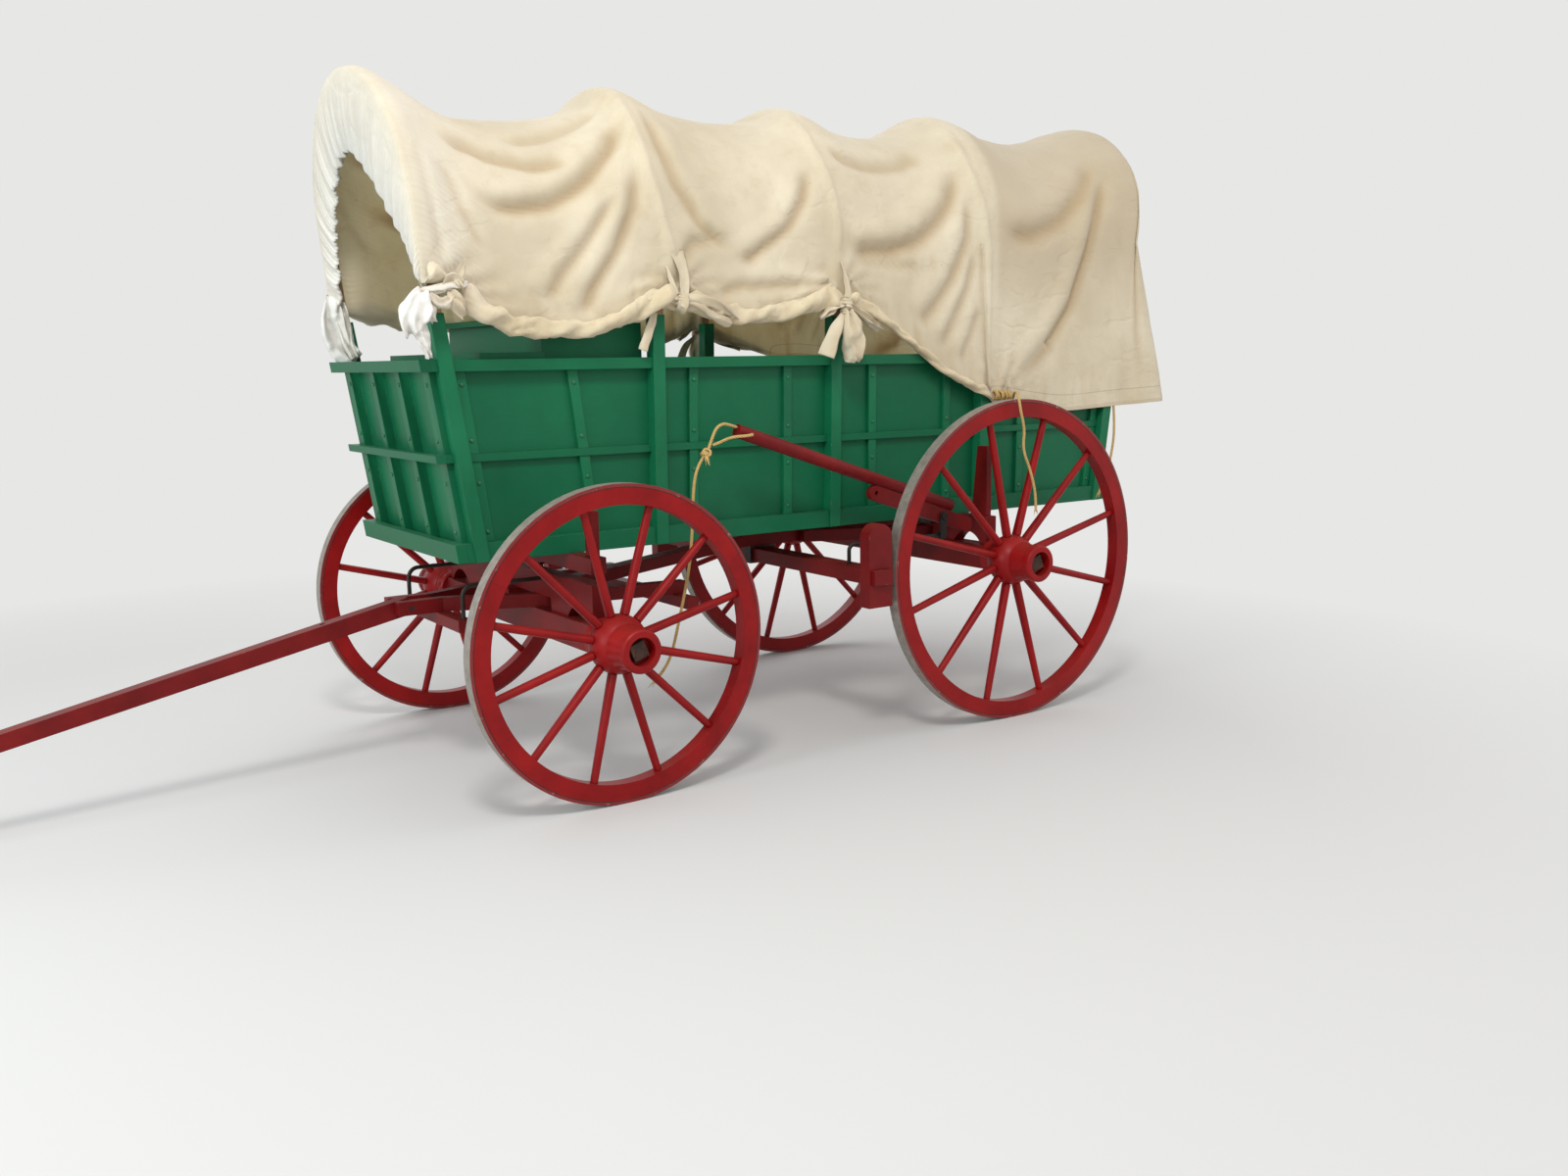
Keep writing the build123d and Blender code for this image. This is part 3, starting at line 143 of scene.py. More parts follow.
def evenly(line, count):
    # the line's points at even spacing
    lengths = [0.0]
    for a, b in zip(line, line[1:]):
        lengths.append(lengths[-1] + (b - a).length)
    out, k = [], 0
    for n in range(count + 1):
        want = lengths[-1] * n / count
        while k < len(lengths) - 2 and lengths[k + 1] < want:
            k += 1
        span = max(lengths[k + 1] - lengths[k], 1e-9)
        out.append(line[k].lerp(line[k + 1], (want - lengths[k]) / span))
    return out, lengths[-1]


def lineFrames(line, side=Vector((0, 0, 1))):
    # a frame at each point that turns as little as it can
    frames, across = [], None
    for k, p in enumerate(line):
        tangent = (line[min(k + 1, len(line) - 1)] - line[max(k - 1, 0)]).normalized()
        if across is None:
            across = side
            if abs(across.dot(tangent)) > 0.95:
                across = Vector((1, 0, 0))
        across = (across - tangent * across.dot(tangent)).normalized()
        frames.append((p, tangent, across, tangent.cross(across)))
    return frames


# camera

view = {
    "place": (1.9691, 4.8430, 1.5148), "yaw": -2.1757, "pitch": -0.1688, "roll": -0.0152,
    "focal": 1357.45, "frame": 1600,  # both in pixels of the photograph's width
    "sensor": 36, "farthest": 60,
}
flat = cos(view["pitch"])
forward = Vector((flat * cos(view["yaw"]), flat * sin(view["yaw"]), sin(view["pitch"])))
level = forward.cross(Vector((0, 0, 1))).normalized()
rise = level.cross(forward)
right = level * cos(view["roll"]) + rise * sin(view["roll"])
upward = rise * cos(view["roll"]) - level * sin(view["roll"])
camera = placed("camera", bpy.data.cameras.new("camera"))
camera.data.lens = view["focal"] / view["frame"] * view["sensor"]
camera.data.sensor_width = view["sensor"]
camera.data.clip_end = view["farthest"]
facing = Matrix((right, upward, -forward)).transposed().to_4x4()
camera.matrix_world = Matrix.Translation(view["place"]) @ facing
scene.camera = camera
scene.view_settings.view_transform = "Standard"
print("camera set")


# nodes


class Shader:
    # places nodes in a tree; ends are the sockets that the tree feeds
    def __init__(self, tree, ends=None):
        self.tree = tree
        self.ends = ends

    def feed(self, value, socket):
        if isinstance(value, bpy.types.NodeSocket):
            self.tree.links.new(value, socket)
        else:
            socket.default_value = value

    def give(self, values):
        for name, value in values.items():
            self.feed(value, self.ends[name])

    def add(self, kind, links=None, **settings):
        node = self.tree.nodes.new("ShaderNode" + kind)
        for key, value in settings.items():
            setattr(node, key, value)
        for socket, value in (links or {}).items():
            self.feed(value, node.inputs[socket])
        return node.outputs

    def group(self, tree, links):
        return self.add("Group", links, node_tree=tree)

    def spot(self):
        return self.add("TexCoord")["Object"]

    def marked(self, name):
        return self.add("Attribute", attribute_name=name)["Fac"]

    def math(self, operation, first, second=0.0, clamp=False):
        return self.add("Math", {0: first, 1: second}, operation=operation, use_clamp=clamp)[0]

    def plus(self, first, second):
        return self.math("ADD", first, second)

    def minus(self, first, second):
        return self.math("SUBTRACT", first, second)

    def times(self, first, second):
        return self.math("MULTIPLY", first, second)

    def ramp(self, value, low, high, start=0.0, end=1.0):
        links = {"Value": value, "From Min": low, "From Max": high, "To Min": start, "To Max": end}
        return self.add("MapRange", links, clamp=True)[0]

    def blend(self, share, first, second):
        return self.add("Mix", {0: share, 6: first, 7: second}, data_type="RGBA")[2]

    def noise(self, vector, scale, detail=4.0, rough=0.55):
        links = {"Vector": vector, "Scale": scale, "Detail": detail, "Roughness": rough}
        return self.add("TexNoise", links)[0]

    def stretched(self, vector, scale):
        return self.add("Mapping", {"Vector": vector, "Scale": scale})[0]

    def bump(self, height, strength, distance, normal=None):
        links = {"Height": height, "Strength": strength, "Distance": distance}
        if normal is not None:
            links["Normal"] = normal
        return self.add("Bump", links)[0]

    def direct(self):
        # 1 where a ray comes from the camera or from a reflection
        rays = self.add("LightPath")
        return self.math("MAXIMUM", rays["Is Camera Ray"], rays["Is Glossy Ray"])


# light and floor

lamps = {
    # place, aim, size, power, tint
    "key": ((1.9, 4.2, 6.2), (-0.8, 0, 1.0), 1.2, 200, (1.0, 0.98, 0.96)),
    "front": ((6.0, 1.6, 2.7), (-0.2, 0, 1.6), 2.0, 150, (0.82, 0.97, 1.0)),
    "fill": ((-5.6, 4.2, 3.4), (-1.4, 0, 1.0), 3.6, 30, (1.0, 0.98, 0.95)),
    "back": ((-2.6, -4.6, 4.2), (-1.4, 0, 1.2), 3.4, 70, (0.96, 0.98, 1.0)),
}
studio = {
    "sky": (0.96, 0.97, 1.0, 1), "strength": 0.88, "backdrop": (0.80, 0.80, 0.79, 1),
    "floor": (0.62, 0.61, 0.59, 1), "rough": 0.85, "size": 30,
    "fadeFrom": 3.0, "fadeTo": 5.4,  # far off, the floor takes the backdrop's tone
}
for name, (place, aim, size, power, tint) in lamps.items():
    light = bpy.data.lights.new(name, "AREA")
    light.size = size
    light.energy = power
    light.color = tint
    way = Vector(aim) - Vector(place)
    placed(name, light).matrix_world = Matrix.Translation(place) @ turnOnto(way, "-Z")

world = bpy.data.worlds.new("studio")
scene.world = world
world.use_nodes = True
s = Shader(world.node_tree, world.node_tree.nodes["World Output"].inputs)
background = world.node_tree.nodes["Background"]
background.inputs["Color"].default_value = studio["sky"]
background.inputs["Strength"].default_value = studio["strength"]
pale = s.add("Background", {"Color": studio["backdrop"]})[0]
s.give({"Surface": s.add("MixShader", {0: s.direct(), 1: background.outputs[0], 2: pale})[0]})

floorMaterial = bpy.data.materials.new("paleFloor")
floorMaterial.use_nodes = True
parts = floorMaterial.node_tree.nodes
s = Shader(floorMaterial.node_tree, parts["Material Output"].inputs)
parts["Principled BSDF"].inputs["Base Color"].default_value = studio["floor"]
parts["Principled BSDF"].inputs["Roughness"].default_value = studio["rough"]
glow = s.add("Emission", {"Color": studio["backdrop"]})[0]
away = s.add("VectorMath", {0: s.spot()}, operation="LENGTH")["Value"]
shown = s.times(s.ramp(away, studio["fadeFrom"], studio["fadeTo"]), s.direct())
s.give({"Surface": s.add("MixShader", {0: shown, 1: parts["Principled BSDF"].outputs[0], 2: glow})[0]})
bm = bmesh.new()
bmesh.ops.create_grid(bm, x_segments=1, y_segments=1, size=studio["size"])
meshObject(bm, "floor", floorMaterial)
print("light and floor set")


# shader groups


def makeGroup(name, inputs, outputs):
    # a group whose inputs are numbers or, with a tuple, vectors
    tree = bpy.data.node_groups.new(name, "ShaderNodeTree")
    for label, value in inputs.items():
        kind = "NodeSocketVector" if isinstance(value, tuple) else "NodeSocketFloat"
        socket = tree.interface.new_socket(name=label, in_out="INPUT", socket_type=kind)
        socket.default_value = value
    for label, kind in outputs.items():
        tree.interface.new_socket(name=label, in_out="OUTPUT", socket_type="NodeSocket" + kind)
    start = tree.nodes.new("NodeGroupInput")
    end = tree.nodes.new("NodeGroupOutput")
    return Shader(tree, end.inputs), start.outputs, tree


# worn edges: where the rounded normal turns away from the flat one
s, ins, edgeWear = makeGroup(
    "edgeWear", {"Width": 0.004, "Amount": 0.5, "Patches": 9.0}, {"Mask": "Float", "Normal": "Vector"}
)
rounded = s.add("Bevel", {"Radius": ins["Width"]}, samples=4)[0]
plain = s.add("NewGeometry")["Normal"]
turned = s.add("VectorMath", {0: rounded, 1: plain}, operation="DOT_PRODUCT")["Value"]
spot = s.spot()
patches = s.noise(spot, ins["Patches"], 5.0, 0.7)
rub = s.plus(s.times(patches, 0.72), s.times(s.noise(spot, 85.0, 3.0), 0.28))
limit = s.minus(0.78, s.times(ins["Amount"], 0.42))
mask = s.times(s.ramp(turned, 0.995, 0.86), s.ramp(s.minus(rub, limit), 0.0, 0.07))
s.give({"Mask": mask, "Normal": rounded})

# long grain: pores and rings drawn out along one direction
s, ins, woodGrain = makeGroup("woodGrain", {"Stretch": (1.2, 22.0, 22.0), "Coarse": 3.0}, {"Grain": "Float"})
drawn = s.stretched(s.spot(), ins["Stretch"])
pores = s.noise(drawn, s.times(ins["Coarse"], 6.0), 6.0, 0.65)
rings = s.noise(drawn, ins["Coarse"], 3.0, 0.5)
s.give({"Grain": s.plus(s.times(pores, 0.6), s.times(rings, 0.4))})

# dust: settles on faces that look up, in soft patches
s, ins, dustLayer = makeGroup("dustLayer", {"Amount": 0.4}, {"Mask": "Float"})
facing = s.add("SeparateXYZ", {0: s.add("NewGeometry")["Normal"]})["Z"]
patches = s.ramp(s.noise(s.spot(), 5.0, 6.0, 0.7), 0.32, 0.68)
settled = s.times(s.ramp(facing, 0.35, 0.95), s.plus(0.45, s.times(patches, 0.55)))
film = s.times(patches, 0.16)
s.give({"Mask": s.math("MULTIPLY", s.plus(settled, film), ins["Amount"], True)})

# weave: two crossed sets of threads in the cloth's own lengths
s, ins, weave = makeGroup("weave", {"Thread": 620.0, "Lay": (0, 0, 0)}, {"Height": "Float", "Slub": "Float"})
sides = s.add("SeparateXYZ", {0: ins["Lay"]})
rate = s.times(ins["Thread"], 6.283)
warp, weft = (s.math("SINE", s.times(sides[axis], rate)) for axis in "XY")
stretches = ((300.0, 8.0, 1.0), (8.0, 300.0, 1.0))
slubs = [s.noise(s.stretched(ins["Lay"], stretch), 1.0, 2.0) for stretch in stretches]
slub = s.times(s.plus(*slubs), 0.5)
s.give({"Height": s.plus(s.times(s.plus(warp, weft), 0.12), slub), "Slub": slub})


def newMaterial(name):
    material = bpy.data.materials.new(name)
    material.use_nodes = True
    return material, Shader(material.node_tree, material.node_tree.nodes["Principled BSDF"].inputs)


def paintedWood(name, look):
    # paint over wood: brush marks, worn edges down to the grain, a film of dust
    material, s = newMaterial(name)
    spot = s.spot()
    grain = s.group(woodGrain, {"Stretch": look["stretch"], "Coarse": look["coarse"]})["Grain"]
    wear = s.group(edgeWear, {"Width": look["round"], "Amount": look["wear"], "Patches": look["patches"]})
    dust = s.group(dustLayer, {"Amount": look["dust"]})["Mask"]
    cloud = s.ramp(s.noise(spot, look["cloud"], 5.0, 0.6), 0.3, 0.7)
    streaks = s.ramp(grain, 0.38, 0.62)
    scuff = s.ramp(s.noise(spot, 23.0, 8.0, 0.75), 0.66, 0.72)
    paint = s.blend(cloud, look["dark"], look["light"])
    paint = s.blend(s.times(streaks, 0.18), paint, look["streak"])
    paint = s.blend(s.times(scuff, look["scuff"]), paint, look["chalk"])
    wood = s.blend(streaks, look["woodDark"], look["woodLight"])
    colour = s.blend(wear["Mask"], paint, wood)
    rough = s.plus(look["rough"], s.times(cloud, 0.10))
    height = s.minus(grain, s.times(wear["Mask"], 0.6))
    s.give({
        "Base Color": s.blend(dust, colour, look["dustColour"]),
        "Roughness": s.math("MAXIMUM", rough, s.times(s.plus(wear["Mask"], dust), 0.8)),
        "Normal": s.bump(height, look["bump"], 0.0006, wear["Normal"]),
        "Specular IOR Level": look["gloss"],
    })
    return material


paintLooks = {
    "greenWood": {
        "dark": srgb(4, 88, 56), "light": srgb(8, 104, 66), "streak": srgb(6, 80, 52),
        "chalk": srgb(70, 140, 112), "woodDark": srgb(92, 78, 52), "woodLight": srgb(150, 128, 88),
        "dustColour": srgb(120, 140, 122), "stretch": (1.0, 18.0, 18.0), "coarse": 3.0, "round": 0.004,
        "wear": 0.35, "patches": 8.0, "dust": 0.12, "cloud": 2.4, "scuff": 0.12, "rough": 0.40,
        "bump": 0.35, "gloss": 0.22,
    },
    "greenUpright": {
        "dark": srgb(6, 92, 58), "light": srgb(12, 112, 72), "streak": srgb(6, 80, 52),
        "chalk": srgb(84, 150, 122), "woodDark": srgb(92, 78, 52), "woodLight": srgb(156, 134, 92),
        "dustColour": srgb(120, 140, 122), "stretch": (18.0, 18.0, 1.0), "coarse": 3.0, "round": 0.004,
        "wear": 0.5, "patches": 9.0, "dust": 0.12, "cloud": 3.0, "scuff": 0.2, "rough": 0.40,
        "bump": 0.35, "gloss": 0.24,
    },
    "redWood": {
        "dark": srgb(92, 7, 10), "light": srgb(122, 12, 14), "streak": srgb(80, 8, 13),
        "chalk": srgb(176, 84, 66), "woodDark": srgb(120, 72, 40), "woodLight": srgb(176, 124, 78),
        "dustColour": srgb(150, 112, 96), "stretch": (14.0, 1.2, 14.0), "coarse": 3.0, "round": 0.004,
        "wear": 0.5, "patches": 7.0, "dust": 0.10, "cloud": 5.0, "scuff": 0.2, "rough": 0.40,
        "bump": 0.3, "gloss": 0.20,
    },
    "redWheel": {
        "dark": srgb(120, 6, 10), "light": srgb(152, 12, 14), "streak": srgb(100, 8, 12),
        "chalk": srgb(180, 90, 70), "woodDark": srgb(124, 76, 44), "woodLight": srgb(182, 132, 86),
        "dustColour": srgb(152, 112, 98), "stretch": (6.0, 10.0, 6.0), "coarse": 4.0, "round": 0.0035,
        "wear": 0.42, "patches": 6.0, "dust": 0.07, "cloud": 5.0, "scuff": 0.14, "rough": 0.34,
        "bump": 0.22, "gloss": 0.20,
    },
}
materials = {name: paintedWood(name, look) for name, look in paintLooks.items()}


def rawWood(name, look):
    material, s = newMaterial(name)
    grain = s.group(woodGrain, {"Stretch": look["stretch"], "Coarse": look["coarse"]})["Grain"]
    wear = s.group(edgeWear, {"Width": 0.004, "Amount": 0.6, "Patches": 10.0})
    dust = s.group(dustLayer, {"Amount": look["dust"]})["Mask"]
    patch = s.ramp(s.noise(s.spot(), 3.0, 5.0), 0.3, 0.7)
    tone = s.blend(s.ramp(grain, 0.35, 0.65), look["dark"], look["light"])
    tone = s.blend(s.times(patch, 0.35), tone, look["grey"])
    tone = s.blend(s.times(wear["Mask"], 0.5), tone, look["light"])
    s.give({
        "Base Color": s.blend(dust, tone, srgb(168, 156, 136)),
        "Roughness": s.ramp(grain, 0.3, 0.7, 0.62, 0.82),
        "Normal": s.bump(grain, 0.5, 0.001, wear["Normal"]),
    })
    return material


rawLooks = {
    "bareWood": {
        "dark": srgb(86, 60, 38), "light": srgb(150, 116, 78), "grey": srgb(120, 108, 92),
        "stretch": (1.0, 20.0, 20.0), "coarse": 3.0, "dust": 0.4,
    },
    "bowWood": {
        "dark": srgb(128, 92, 56), "light": srgb(184, 146, 100), "grey": srgb(150, 128, 100),
        "stretch": (20.0, 5.0, 3.0), "coarse": 3.0, "dust": 0.2,
    },
}
materials.update({name: rawWood(name, look) for name, look in rawLooks.items()})


def paintedSides(s, spot, wear):
    # paint on the faces that look along the axle; the tread is bare
    facing = s.add("SeparateXYZ", {0: s.add("TexCoord")["Normal"]})["Y"]
    side = s.ramp(s.math("ABSOLUTE", facing), 0.55, 0.80)
    chips = s.ramp(s.noise(spot, 26.0, 6.0, 0.75), 0.60, 0.66)
    return s.times(side, s.minus(1.0, s.times(s.math("MAXIMUM", chips, wear), 0.8)))


def ironMaterial(name, look):
    # iron: dark scale with rust in patches and bright worn edges
    material, s = newMaterial(name)
    spot = s.spot()
    wear = s.group(edgeWear, {"Width": 0.002, "Amount": look["wear"], "Patches": 14.0})
    dust = s.group(dustLayer, {"Amount": look["dust"]})["Mask"]
    rust = s.ramp(s.noise(spot, look["cloud"], 8.0, 0.7), look["rustFrom"], look["rustFrom"] + 0.14)
    grit = s.noise(spot, 260.0, 3.0)
    rusty = s.blend(s.ramp(grit, 0.35, 0.65), look["rustDark"], look["rustLight"])
    tone = s.blend(s.ramp(s.noise(spot, 40.0, 4.0), 0.3, 0.7), look["dark"], look["light"])
    tone = s.blend(rust, tone, rusty)
    tone = s.blend(wear["Mask"], tone, look["bright"])
    metal = s.ramp(rust, 0.0, 1.0, look["metal"], 0.1)
    if "paint" in look:
        side = paintedSides(s, spot, wear["Mask"])
        tone = s.blend(side, tone, look["paint"])
        metal = s.times(metal, s.minus(1.0, side))
    height = s.plus(s.times(grit, 0.5), s.times(rust, 0.5))
    s.give({
        "Base Color": s.blend(dust, tone, srgb(150, 138, 122)),
        "Roughness": s.plus(look["rough"], s.times(s.math("MAXIMUM", rust, dust), 0.35)),
        "Metallic": metal,
        "Normal": s.bump(height, 0.4, 0.0006, wear["Normal"]),
    })
    return material


ironLooks = {
    "iron": {
        "dark": srgb(38, 34, 33), "light": srgb(58, 52, 50), "bright": srgb(120, 112, 104),
        "rustDark": srgb(70, 40, 26), "rustLight": srgb(112, 66, 40), "rustFrom": 0.58,
        "cloud": 12.0, "wear": 0.4, "dust": 0.3, "rough": 0.5, "metal": 0.7,
    },
    "rustyNut": {
        "dark": srgb(44, 32, 26), "light": srgb(66, 46, 36), "bright": srgb(130, 92, 68),
        "rustDark": srgb(74, 40, 26), "rustLight": srgb(122, 70, 44), "rustFrom": 0.46,
        "cloud": 18.0, "wear": 0.5, "dust": 0.3, "rough": 0.55, "metal": 0.5,
    },
    "tyreIron": {
        "dark": srgb(128, 122, 114), "light": srgb(158, 151, 142), "bright": srgb(186, 180, 170),
        "rustDark": srgb(112, 90, 74), "rustLight": srgb(140, 116, 96), "rustFrom": 0.60,
        "cloud": 9.0, "wear": 0.4, "dust": 0.25, "rough": 0.5, "metal": 0.35, "paint": srgb(122, 9, 11),
    },
    "greenIron": {
        "dark": srgb(10, 88, 58), "light": srgb(18, 112, 74), "bright": srgb(110, 120, 96),
        "rustDark": srgb(60, 58, 36), "rustLight": srgb(96, 74, 44), "rustFrom": 0.66,
        "cloud": 20.0, "wear": 0.55, "dust": 0.3, "rough": 0.42, "metal": 0.05,
    },
}
materials.update({name: ironMaterial(name, look) for name, look in ironLooks.items()})


def canvasMaterial(name, look):
    # cotton duck: weave and slubs, ochre painted shade in the creases, tan painted shade on the rear panel,
    # painted front light where it is pale, a stitched hem
    material, s = newMaterial(name)
    spot = s.spot()
    lay = s.add("UVMap", uv_map="cloth")[0]
    threads = s.group(weave, {"Thread": look["thread"], "Lay": lay})
    pale = s.marked("pale")
    broad = s.ramp(s.noise(spot, 2.2, 6.0, 0.6), 0.32, 0.68)
    stain = s.ramp(s.noise(spot, 6.0, 8.0, 0.72), 0.55, 0.75)
    specks = s.ramp(s.noise(spot, 46.0, 2.0), 0.76, 0.79)
    line = s.math("ABSOLUTE", s.minus(s.marked("hem"), 0.5))
    stitch = s.times(s.ramp(line, 0.035, 0.0), look["stitch"])
    tone = s.blend(broad, look["dark"], look["light"])
    tone = s.blend(s.times(stain, 0.5), tone, look["stain"])
    # painted shade on the panel behind the fourth bow, and a darker tone on the roll
    tone = s.blend(s.times(s.marked("rearShadeRollTone"), 0.6), tone, look["tan"])
    # painted shade in the creases, in ochre
    tone = s.blend(s.times(s.marked("crease"), look["creaseShare"]), tone, look["creaseShade"])
    # painted front light: a paler, whiter tone where the rim and the cloth at the first tie catch the light
    tone = s.blend(s.times(pale, 0.95), tone, look["pale"])
    tone = s.blend(s.ramp(threads["Slub"], 0.35, 0.65, 0.0, 0.14), tone, look["slub"])
    tone = s.blend(s.times(specks, 0.35), tone, look["speck"])
    ripples = s.noise(spot, 34.0, 4.0, 0.55)
    height = s.plus(s.times(threads["Height"], 0.25), s.times(ripples, look["ripple"]))
    fine = s.bump(s.minus(height, s.times(stitch, 0.6)), 0.5, 0.0016)
    drift = s.noise(s.stretched(spot, (1.0, 1.6, 1.6)), 3.4, 3.0, 0.5)
    crinkle = s.ramp(s.math("ABSOLUTE", s.minus(drift, 0.5)), 0.0, 0.05)
    crinkle = s.math("MAXIMUM", crinkle, s.ramp(s.noise(spot, 2.6, 2.0), 0.42, 0.62))
    # the drawn-in rim's fine pleats run across the edge
    strip = s.add("SeparateXYZ", {0: lay})["Y"]
    drawn = s.math("SINE", s.plus(s.times(strip, 290.0), s.times(broad, 5.0)))
    crinkle = s.plus(crinkle, s.times(s.times(drawn, pale), 0.9))
    s.give({
        "Base Color": s.blend(stitch, tone, look["speck"]),
        "Normal": s.bump(crinkle, look["crinkle"], 0.005, fine),
        "Roughness": 0.88,
        "Sheen Weight": 0.18,
        "Sheen Roughness": 0.6,
        "Subsurface Weight": look["through"],
        "Subsurface Radius": (1.0, 0.92, 0.80),
        "Subsurface Scale": 0.006,
    })
    return material


canvasLook = {
    "dark": srgb(194, 180, 150), "light": srgb(217, 205, 180), "stain": srgb(188, 164, 122),
    "creaseShade": srgb(168, 140, 98), "tan": srgb(176, 158, 128), "pale": srgb(226, 226, 224),
    "slub": srgb(192, 178, 148), "speck": srgb(120, 98, 70), "thread": 620.0, "crinkle": 0.42,
    "creaseShare": 0.68, "stitch": 0.5, "ripple": 0.6,
    "through": 0.0,  # share of the light that passes the cloth
}
# the inside is painted lighter than the outside, painted light for what shines through the cloth; its
# subsurface share lets some real light through
insideLook = {"dark": srgb(230, 210, 170), "light": srgb(243, 228, 194), "creaseShare": 0.8, "through": 0.4}
canvasLooks = {"canvas": {}, "canvasInside": insideLook, "canvasTie": {"stitch": 0.0, "ripple": 0.3}}
materials.update({name: canvasMaterial(name, {**canvasLook, **own}) for name, own in canvasLooks.items()})


def ropeMaterial(name, look):
    material, s = newMaterial(name)
    lay = s.add("UVMap", uv_map="cloth")[0]
    yarns = s.noise(s.stretched(lay, (90.0, 900.0, 1.0)), 1.0, 3.0, 0.6)
    fibres = s.noise(s.spot(), 420.0, 4.0, 0.7)
    tone = s.blend(s.ramp(yarns, 0.3, 0.7), look["dark"], look["light"])
    # painted shade in the grooves between the strands, in the deep tone
    tone = s.blend(s.times(s.marked("crease"), 0.75), tone, look["deep"])
    s.give({
        "Base Color": s.blend(s.times(s.ramp(fibres, 0.5, 0.8), 0.4), tone, look["fibre"]),
        "Roughness": 0.8,
        "Normal": s.bump(s.plus(s.times(yarns, 0.6), s.times(fibres, 0.4)), 0.6, 0.0008),
    })
    return material


ropeLook = {
    "dark": srgb(172, 136, 74), "light": srgb(222, 188, 120), "deep": srgb(112, 78, 36),
    "fibre": srgb(232, 208, 152),
}
materials["rope"] = ropeMaterial("rope", ropeLook)
print("materials made:", ", ".join(sorted(materials)))

# CAD pieces that keep their shape get their finish

corners = [f"{end}_{side}" for end in ("front", "rear") for side in ("left", "right")]
finishes = {
    "greenWood": ["side_boards", "side_rails", "end_rails", "seat_box"],
    "greenUpright": ["front_gate", "stakes", "side_battens", "tailgate"],
    "bareWood": ["bed_floor", "cross_sills"],
    "bowWood": ["bows"],
    "redWood": [
        "front_bolster", "bolster_stakes", "rear_axle", "rear_bolster", "reach", "rear_hounds", "front_axle",
        "sand_board", "front_hounds", "hound_bars", "tongue", "brake_lever", "brake_arm", "brake_beam",
        "brake_shoes",
    ],
    "iron": [
        "kingpin", "rub_plate", "tongue_pin", "tailgate_straps", "sill_straps", "front_braces",
        "brake_crank", "brake_rod", "brake_bracket", "brake_stirrup",
    ],
    "rustyNut": ["front_axle_arms", "rear_axle_arms"],
    "redWheel": [f"{corner}_{part}" for corner in corners for part in ("hub", "spokes", "felloes")],
    "tyreIron": [f"{corner}_tyre" for corner in corners],
}
for finishName, members in finishes.items():
    for member in members:
        for slot in nodes[member].material_slots:
            slot.material = materials[finishName]
print("finishes set on the CAD pieces")

# ropes, the free cords

ropes = {
    "leverRope": {"node": "lever_rope", "body": "brake_lever", "length": 1.080, "route": [
        (-607.1, 652, 1274.2), (-582.5, 652, 1282.5), (-545, 652, 1292), (-513, 652, 1275),
        (-496, 650, 1236), (-478, 648, 1192), (-441, 646, 1149), (-420, 644, 1094), (-411, 643, 1000),
        (-407, 642, 900), (-391, 641, 770), (-362, 640, 650), (-336, 640, 555), (-310, 641, 465),
        (-277, 642, 402), (-228, 643, 358),
    ], "far": "bare"},
    "leverLoop": {"node": "lever_rope_loop", "body": "brake_lever", "length": 0.187, "route": [
        (-648, 678.4, 1248), (-648, 696.5, 1248), (-632, 702, 1246), (-605, 695, 1244),
        (-581, 673, 1242), (-556, 656, 1234), (-523, 652, 1220), (-497.5, 650, 1213.6),
    ], "far": "object"},
    "lashingRope": {"node": "lashing_rope", "body": "wagon", "length": 0.988, "route": [
        (-2140, 519.9, 1345), (-2136, 534, 1344), (-2118, 551, 1343), (-2084, 585, 1342),
        (-2022, 650, 1343), (-1950, 728, 1352), (-1896, 786, 1371), (-1848, 850, 1379),
        (-1826, 882, 1364), (-1816, 900, 1334), (-1822, 903, 1294), (-1840, 899, 1252),
        (-1853, 893, 1208), (-1851, 889, 1166), (-1861, 887, 1122), (-1884, 885, 1082),
        (-1907, 883, 1034), (-1925, 882, 985), (-1936, 881, 936), (-1938, 881, 890),
    ], "far": "bare"},
    "rearRope": {"node": "rear_rope", "body": "wagon", "length": 0.436, "route": [
        (-2811, 516.5, 1296.2), (-2812, 521, 1246), (-2808, 528, 1180), (-2803, 530, 1120),
        (-2791, 530, 1062), (-2780, 531, 1020), (-2755, 531, 965), (-2732, 532, 923), (-2710, 532, 880),
    ], "far": "bare"},
}
strand = {"radius": 0.0060, "groove": 0.26, "layLength": 0.034, "sides": 18, "step": 0.0035, "tip": 0.72}
fray = {
    "spread": 0.28, "belly": 0.002, "root": 0.0032, "inside": 0.004,
    "thick": (0.0017, 0.0013, 0.0004),  # a yarn's radius at its root, middle and tip
}
ropeCoil = {"perTurn": 16, "thickness": 0.0058, "rate": 0.43, "start": 1, "slip": 0.22}


def twistedRope(name, line, body, radius=strand["radius"]):
    # three strands: a three-lobed section that turns as it goes
    count = max(int(sum((b - a).length for a, b in zip(line, line[1:])) / strand["step"]), 6)
    path, length = evenly(line, count)
    frames = lineFrames(path)
    sides = strand["sides"]

    def groove(turn):
        return (1 - abs(cos(1.5 * turn))) ** 2

    def place(i, j):
        p, tangent, across, over = frames[i]
        turn = 2 * pi * (j % sides) / sides
        twist = 2 * pi * length * i / count / strand["layLength"]
        reach = radius * (1 - strand["groove"] * groove(turn))
        ends = min(i, count - i) / 2
        if ends < 1:
            reach *= strand["tip"] + (1 - strand["tip"]) * ends
        return p + (across * cos(turn + twist) + over * sin(turn + twist)) * reach

    # the grooves between the strands are marked for painted shade
    bm = surfaceGrid(
        count,
        sides,
        place,
        lambda i, j: (length * i / count, radius * 2 * pi * j / sides),
        {"crease": lambda i, j: groove(2 * pi * j / sides)},
    )
    closeTube(bm)
    return finish(bm, name, body, materials["rope"])


